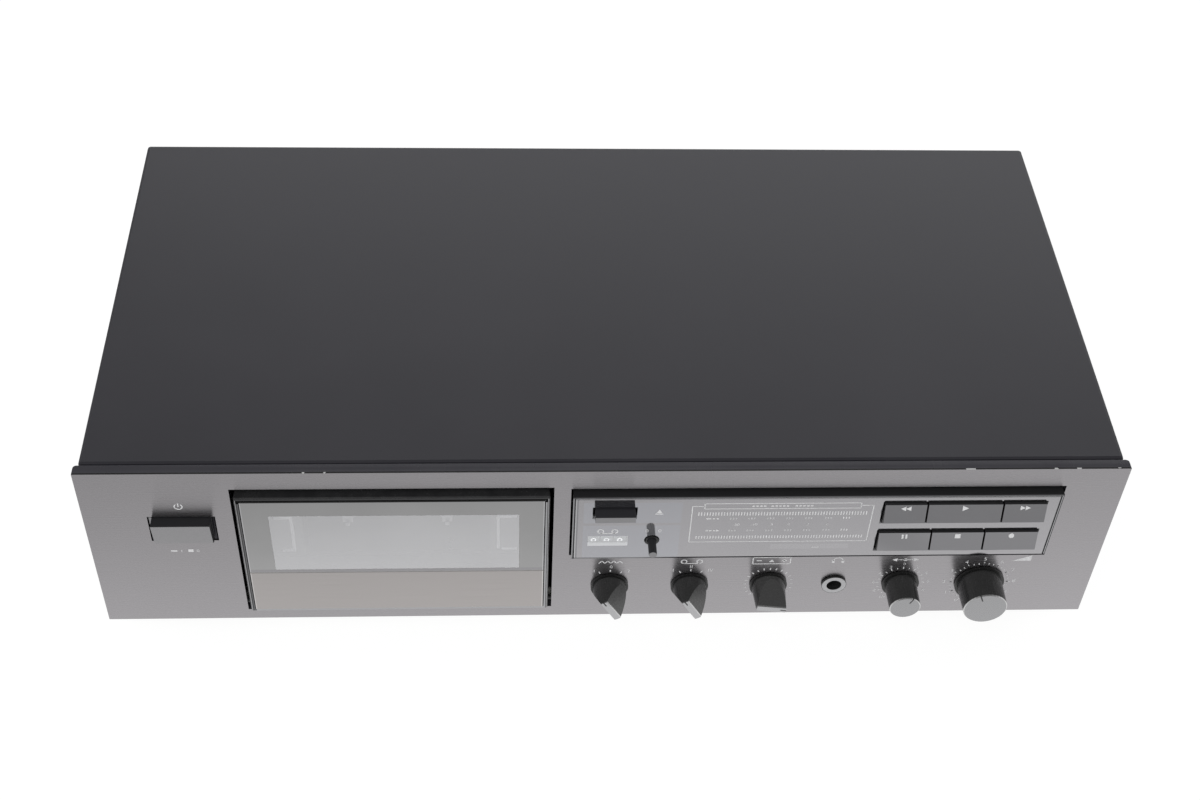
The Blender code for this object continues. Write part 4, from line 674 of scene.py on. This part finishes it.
# Control inset: a moulded bezel let into the panel, with a glossy metallised window over
# the meter. The window is half clear in front of the counter.
bezel = Skin("bezel_plastic")
front = bezel.front()
mottle = bezel.noise(220)
low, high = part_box("control_bezel")
# Painted shade: the bottom edge is painted near black, more so to the right, and so is the right end.
painted_edge_shade = (bezel.z < low.z + 0.0009) * bezel.x.ramp(0.010, 0.035, 0.35, 1.0)
painted_edge_shade = painted_edge_shade | (bezel.x > high.x - 0.00035)
# Painted shade: a dark grey line just inside the left end, and a darker grey strip along the top.
painted_left_shade = (bezel.x > low.x + 0.0005) * (bezel.x < low.x + 0.0012)
tone = tint(mottle, (0.38, 0.38, 0.39), (0.40, 0.40, 0.41))
tone = (bezel.z > high.z - 0.0007).mix(tone, (0.15, 0.15, 0.155))
tone = painted_left_shade.mix(tone, (0.10, 0.10, 0.105))
bezel.set(base_color=front.mix((0.020, 0.020, 0.021), painted_edge_shade.mix(tone, (0.012, 0.012, 0.014))))
bezel.set(metallic=front, roughness=vary(mottle, 0.14, 0.20))
dress(bezel, "control_bezel")
ease("control_bezel", 0.0002)

gloss = Skin("gloss_window")
low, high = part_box("control_window")
window_y = low.y
front, rear = pane_faces(gloss, low)
cool = (gloss.x > -0.0103) * (gloss.x < 0.0308) * (gloss.z < 0.0938)
cool = cool * (1 - (gloss.z > 0.0792) * (gloss.z < 0.0808))
clear = gloss.within(-0.0081, 0.0089, 0.0660 - rear * 0.006, 0.0724)
faint = gloss.within(0.0702, 0.1038, 0.0630, 0.0662)
# Painted reflection: where the reset button's reflection falls, the window is made less metallic, which
# lightens that reflection.
painted_reflection_patch = gloss.within(0.0165, 0.0213, 0.0725, 0.0806)
haze = gloss.noise(25)
field = tint(haze, (0.424, 0.417, 0.430), (0.440, 0.433, 0.447))
field = faint.mix(field, (0.458, 0.451, 0.465))
coat = clear.mix(cool.mix(field, (0.445, 0.448, 0.474)), (0.83, 0.84, 0.86))
# Painted light at the window's ends: a painted highlight along the left edge, painted shade along the right
# edge, and a line of painted shade just inside the left edge.
coat = (gloss.x < low.x + 0.00045).mix(coat, (0.52, 0.52, 0.53))
coat = (gloss.x > high.x - 0.00045).mix(coat, (0.04, 0.04, 0.042))
painted_left_shade = (gloss.x > low.x + 0.0006) * (gloss.x < low.x + 0.00115)
coat = painted_left_shade.mix(coat, (0.29, 0.29, 0.30))
gloss.set(base_color=front.mix((0.36, 0.36, 0.37), coat), metallic=front * (0.97 - painted_reflection_patch * 0.19))
gloss.set(roughness=vary(haze, 0.06, 0.10))
gloss.set(alpha=1 - clear * front * gloss.z.ramp(0.0676, 0.0686, 0.14, 0.32) - clear * rear * 0.96)
dress(gloss, "control_window")
ease("control_window", 0.0002)


# Level meter: a display of dark glass behind the window, with its scale screened on the
# window's front in fine pale ink, and the counter's signs beside it.
display = moulded("meter_display", (0.03, 0.05, 0.05), (0.05, 0.08, 0.08), 0.2)
dress(display, "meter_unit")
fine_ink = ink_skin("fine_ink", (0.74, 0.74, 0.75))
unlit_ink = ink_skin("unlit_ink", (0.58, 0.58, 0.59))
scale, unlit = Ink(), Ink()


def blocks(u, v, count):
    """A row of plain blocks about a middle."""
    pitch, half_block, half_height = 0.0016, 0.0005, 0.0004
    for i in range(count):
        middle = u + (i - (count - 1) / 2) * pitch
        scale.bar(middle - half_block, middle + half_block, v - half_height, v + half_height)


left, right, foot, top = 0.0350, 0.1112, 0.0681, 0.0913
title_left, title_right = 0.0401, 0.1058
for a, b in (((left, foot), (left, top)), ((right, foot), (right, top)), ((left, foot), (right, foot)),
             ((left, top), (title_left, top)), ((title_right, top), (right, top))):
    scale.line(a, b, hair)
scale.frame(title_left, title_right, 0.0896, 0.0929, hair)
segment_pitch, tick_half, segment_half = 0.0012, 0.00022, 0.00025
for i in range(60):
    u = 0.0379 + i * segment_pitch
    scale.bar(u - tick_half, u + tick_half, 0.0852, 0.0875)
    scale.bar(u - tick_half, u + tick_half, 0.0702, 0.0721)
upper_row, lower_row = 0.0833, 0.0755
for u in (0.0528, 0.0605, 0.0685, 0.0766, 0.0846, 0.0929, 0.1006):
    ink = scale if u > 0.1 else unlit
    for v in (upper_row, lower_row):
        for step in (-1, 0, 1):
            middle = u + step * segment_pitch
            ink.bar(middle - segment_half, middle + segment_half, v - 0.0006, v + 0.0006)
levels = (("-30", 0.0542), ("-10", 0.0618), ("-5", 0.0690), ("0", 0.0766), ("3", 0.0846), ("6", 0.0929))
for number, u in levels:
    ink = scale if u < 0.07 else unlit
    ink.figures(number, u, 0.0794, 0.0016)
scale.arrow(0.0415, upper_row, 0.0014, -1)
scale.arrow(0.0468, lower_row, 0.0014)
blocks(0.0445, upper_row, 3)
blocks(0.0436, lower_row, 3)
for u, count in ((0.0629, 4), (0.0717, 5), (0.0818, 5)):
    blocks(u, 0.0912, count)
scale.bar(0.0880, 0.0912, 0.0638, 0.0642)
scale.bar(0.0196, 0.0230, 0.0863, 0.0868)
scale.rise(0.0213, 0.0882, 0.0022)
scale.reels(0.0002, lower_row, 0.0030, stroke)
for u in (0.0168, 0.0222):
    scale.figures("0", u, 0.0757, 0.0020)
scale.lay("meter_scale", "case", "meter_display", fine_ink, upright(window_y))
unlit.lay("meter_segments", "case", "meter_display", unlit_ink, upright(window_y))


# Transport keys: moulded in one colour, the sloping fronts metallised grey, with a common
# sign printed near the top of each.
keys = Skin("key_plastic")
front = keys.front(0.5, 0.8)
mottle = keys.noise(400)
upper_tone = tint(mottle, (0.254, 0.252, 0.262), (0.260, 0.258, 0.268))
tone = (keys.z < 0.077).mix(upper_tone, (0.325, 0.322, 0.335))
keys.set(base_color=front.mix((0.019, 0.019, 0.020), tone))
keys.set(metallic=front, roughness=vary(mottle, 0.22, 0.25))
key_top_proud, key_foot_proud, key_chin = 0.0013, 0.0034, 0.0034
sign_drop, sign_size = 0.0019, 0.0022
for name in ("rewind", "play", "forward", "pause", "stop", "record"):
    dress(keys, "key_" + name)
    ease("key_" + name, 0.0002)
    low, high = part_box("key_" + name)
    sign = Ink()
    u, v = (low.x + high.x) / 2, high.z - sign_drop
    if name in ("rewind", "forward"):
        for side in (-1, 1):
            sign.arrow(u + side * 0.0011, v, sign_size, -1 if name == "rewind" else 1)
    elif name == "play":
        sign.arrow(u, v, 0.0026)
    elif name == "pause":
        for middle in (u - 0.0008, u + 0.0008):
            sign.bar(middle - 0.0004, middle + 0.0004, v - sign_size / 2, v + sign_size / 2)
    elif name == "stop":
        sign.bar(u - 0.0012, u + 0.0012, v - sign_size / 2, v + sign_size / 2)
    else:
        sign.disc((u, v), 0.0012)
    slope = (key_foot_proud - key_top_proud) / (high.z - low.z - key_chin)
    sign.lay(name + "_sign", name, "counter_wheel", white_ink,
             lambda u, v, top=high.z: (u, window_y - key_top_proud - (top - v) * slope - ink_lift, v))


# Eject, power and reset buttons: black mouldings with grey metallised ends. The power
# button's end is matt and the eject button's is bright.
tops = Skin("button_plastic")
front = tops.front(0.5, 0.8)
mottle = tops.noise(400)
tone = tint(mottle, (0.300, 0.297, 0.305), (0.312, 0.309, 0.317))
# Painted shade: a strip of the power button's flange at its right is painted dark grey.
shaded_flange_strip = (tops.x > -0.1649) * (tops.x < -0.1625) * (tops.y > panel_y - 0.0005)
tops.set(base_color=front.mix((0.019, 0.019, 0.021), shaded_flange_strip.mix(tone, (0.045, 0.044, 0.050))))
tops.set(metallic=front, roughness=front * -0.32 + vary(mottle, 0.54, 0.57))
for node in ("power_button", "reset_button"):
    dress(tops, node)
    ease(node, 0.0002)
eject = Skin("eject_plastic")
front = eject.front(0.5, 0.8)
mottle = eject.noise(400)
tone = tint(mottle, (0.322, 0.320, 0.328), (0.328, 0.326, 0.334))
eject.set(base_color=front.mix((0.024, 0.024, 0.027), tone), metallic=front)
eject.set(roughness=vary(mottle, 0.22, 0.25))
dress(eject, "eject_button")
ease("eject_button", 0.0002)


# Counter frame, power switch, smoothing capacitor and cord gland: plain mouldings in
# glossy black plastic, each made in one piece.
black = moulded("black_plastic", (0.016, 0.016, 0.016), (0.024, 0.024, 0.024), 0.32)
dress(black, "power_switch", "counter_frame", "cord_gland", "smoothing_capacitor")


# Tape counter: three pale moulded wheels on one axle, each with ten white figures round
# its rim. The figures are given a faint painted glow, so that they show through the window.
wheel_skin = moulded("counter_wheel", (0.58, 0.61, 0.63), (0.64, 0.67, 0.69), 0.35)
dress(wheel_skin, "wheel_hundreds", "wheel_tens", "wheel_units")
# Painted light: the figures carry an emission so that they glow a little.
figure_ink = ink_skin("figure_ink", (0.98, 0.98, 0.98))
figure_ink.set(emission_color=(1.0, 1.0, 1.0), emission_strength=1.3)
figure_turn, first_turn, figure_height, figure_stretch = 36, -16, 0.0033, 1.2
for wheel in ("hundreds", "tens", "units"):
    low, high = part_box("wheel_" + wheel)
    middle = (low + high) / 2
    reach = (high.z - low.z) / 2 + 0.00002
    strip = Ink()
    for number in range(10):
        strip.figures(str(number), 0, reach * radians(figure_turn * number + first_turn), figure_height)
    strip.lay(wheel + "_figures", "counter_" + wheel, "counter_wheel", figure_ink,
              lambda u, v: (middle.x + u * figure_stretch, middle.y - reach * cos(v / reach),
                            middle.z + reach * sin(v / reach)))


# Knobs: black mouldings with turned grey metal ends; a dark line in the end of each, cut
# from the rim inwards, shows where it points. Painted highlights lighten the chamfer round
# each end and the sides that face up or to the right, and painted shade darkens the skirts.
def knob_skin(name, node, x, point, start, end, right_flank_highlight=0.040, cap=(0.380, 0.380, 0.388), up_facing_highlight=0.033):
    """A knob that points that many degrees from straight up, with its line from start to end."""
    skin = Skin(name)
    front_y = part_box(node)[0].y
    cap_depth, chamfer_start, groove_half, skirt_thick = 0.00055, 0.00004, 0.0003, 0.00145
    end_face = skin.y < front_y + cap_depth
    painted_chamfer_highlight = (skin.y > front_y + chamfer_start) * end_face
    turn = radians(point)
    u = (skin.x - x) * cos(turn) - (skin.z - knob_z) * sin(turn)
    v = (skin.x - x) * sin(turn) + (skin.z - knob_z) * cos(turn)
    groove = (abs(u) < groove_half) * (v > start) * (v < end) * end_face
    spots = skin.noise(900)
    cap = tint(spots, cap, tuple(1.015 * c for c in cap))
    # Painted highlight: the chamfer round the end is painted light grey.
    cap = painted_chamfer_highlight.mix(cap, (0.62, 0.62, 0.62))
    # Painted highlight: the sides are painted lighter where they face up, and where they face right.
    up_facing_light = skin.facing.axis(2).ramp(0.2, 0.8)
    sides = up_facing_light.mix((0.021, 0.021, 0.022), (up_facing_highlight, up_facing_highlight, up_facing_highlight))
    sides = skin.facing.axis(0).ramp(0.45, 0.85).mix(sides, (right_flank_highlight, right_flank_highlight, right_flank_highlight))
    # Painted shade: the skirt at the panel is painted darker than the rest of the body.
    skirt_shade = skin.y > panel_y - skirt_thick
    sides = skirt_shade.mix(sides, (0.010, 0.010, 0.010))
    shine = end_face * (1 - groove)
    skin.set(base_color=shine.mix(sides, cap), metallic=shine, roughness=vary(spots, 0.26, 0.29))
    skin.bump(groove * -1.0, 0.0002)
    dress(skin, node)


wing = (0.50, 0.50, 0.51)
knob_skin("nr_knob_plastic", "nr_knob", dial["nr"], -30, 0.0040, 0.0075, 0.085, wing)
knob_skin("tape_knob_plastic", "tape_knob", dial["tape"], -30, 0.0040, 0.0075, 0.085, wing)
knob_skin("bias_knob_plastic", "bias_knob", dial["bias"], 98, 0.0040, 0.0075, 0.085, wing, 0.048)
knob_skin("balance_knob_plastic", "balance_knob", dial["balance"], 25, 0.0035, 0.0080)
knob_skin("level_knob_plastic", "level_knob", dial["level"], -22, 0.0058, 0.0110)


# Headphone jack: a black moulded collar with a bright turned ring round the bore, held in
# the panel from behind.
def distance(u, v):
    return u.math("SQRT", u * u + v * v)


jack_skin = Skin("jack_plastic")
radius = distance(jack_skin.x - dial["jack"], jack_skin.z - knob_z)
jack_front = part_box("phones_jack")[0].y
ring = (radius > 0.0033) * (radius < 0.0053) * (jack_skin.y < jack_front + 0.0003)
spots = jack_skin.noise(900)
bright = tint(spots, (0.42, 0.42, 0.43), (0.47, 0.47, 0.48))
jack_skin.set(base_color=ring.mix((0.018, 0.018, 0.018), bright), metallic=ring)
jack_skin.set(roughness=vary(spots, 0.22, 0.30))
dress(jack_skin, "phones_jack")


# Line sockets at the rear: a black moulded block with four nickel plated sleeves, and a
# white or a red insulator round each bore.
sockets = Skin("line_sockets")
block_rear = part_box("line_jack_block")[1].y
middle_x, middle_z, half_space_x, half_space_z = 0.146, 0.0431, 0.014, 0.008
insulator_radius, sleeve_bore, pin_bore, sleeve_foot = 0.0036, 0.0020, 0.0018, 0.1080
radius = distance(abs(sockets.x - middle_x) - half_space_x, abs(sockets.z - middle_z) - half_space_z)
insulator = (sockets.y > block_rear - 0.0003) * (radius < insulator_radius)
sleeve = (sockets.y > sleeve_foot) * (1 - insulator) * (radius > sleeve_bore)
spots = sockets.noise(900)
pair = (sockets.x > middle_x).mix((0.45, 0.03, 0.03), (0.75, 0.75, 0.73))
nickel = tint(spots, (0.58, 0.57, 0.54), (0.66, 0.65, 0.62))
body = tint(spots, (0.016, 0.016, 0.016), (0.024, 0.024, 0.024))
body = (insulator * (radius > pin_bore)).mix(body, pair)
sockets.set(base_color=sleeve.mix(body, nickel), metallic=sleeve, roughness=vary(spots, 0.24, 0.34))
dress(sockets, "line_jack_block")


# Screws: flat black steel heads that hold the cover at its two sides, and zinc plated ones
# that hold the rear panel and the socket block. Each has a cross of painted shade for the
# shade in its recess.
def screws(name, body, slot, skin, way, spots):
    """Screw heads at the given places, each with its axis along way and a cross of painted shade on it, for
    the shade in its recess.
    """
    radius, rise, lift = 0.0032, 0.0009, 0.00002
    arm_reach, arm_half = 0.0016, 0.0003
    profile = [(0.0, rise), (0.0014, rise), (radius * 0.8, rise * 0.9), (radius, rise * 0.45), (radius, 0.0)]
    heads, cross_shades = Build(), Build()
    way = Vector(way)
    across = way.orthogonal().normalized()
    for spot in spots:
        heads.turned(spot, way, profile)
        top = Vector(spot) + way * (rise + lift)
        for arm in (across, way.cross(across)):
            reach = Vector([abs(a) for a in arm * arm_reach + way.cross(arm) * arm_half])
            cross_shades.block(top - reach, top + reach + way * lift)
    heads.piece(name, body, slot, skin)
    cross_shades.piece(name + "_crosses", body, slot, cross_shade_skin)


# Painted shade: the near-black crosses stand for the shade in the screws' cross recesses.
cross_shade_skin = Skin("screw_cross", roughness=0.7)
cross_shade_skin.set(base_color=tint(cross_shade_skin.noise(2000), (0.003, 0.003, 0.003), (0.006, 0.006, 0.006)))
black_screw = metal_skin("black_screw", (0.022, 0.022, 0.024), (0.034, 0.034, 0.036), 0.30)
side_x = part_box("top_cover")[1].x
for side, name in ((-1, "left"), (1, "right")):
    spots = [(side * side_x, y, 0.034) for y in (-0.0600, 0.0700)]
    screws("cover_screws_" + name, "case", "case_paint", black_screw, (side, 0, 0), spots)
bright_screw = metal_skin("zinc_screw", (0.52, 0.52, 0.49), (0.64, 0.64, 0.60), 0.28)
rear_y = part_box("rear_panel")[1].y
low_z, high_z, end_x, inner_x = 0.0230, 0.0950, 0.2065, 0.080
spots = [(-end_x, low_z), (-end_x, high_z), (end_x, low_z), (end_x, high_z),
         (0.0, low_z), (middle_x, middle_z), (-inner_x, high_z), (inner_x, high_z)]
screws("rear_screws", "case", "zinc_sheet", bright_screw, (0, 1, 0), [(x, rear_y, z) for x, z in spots])


# Feet: four moulded in soft black plastic, each fixed to the underside of the chassis
# near a corner.
foot_skin = moulded("foot_plastic", (0.020, 0.020, 0.020), (0.032, 0.032, 0.032), 0.45)
dress(foot_skin, "foot_front_left", "foot_front_right", "foot_rear_left", "foot_rear_right")
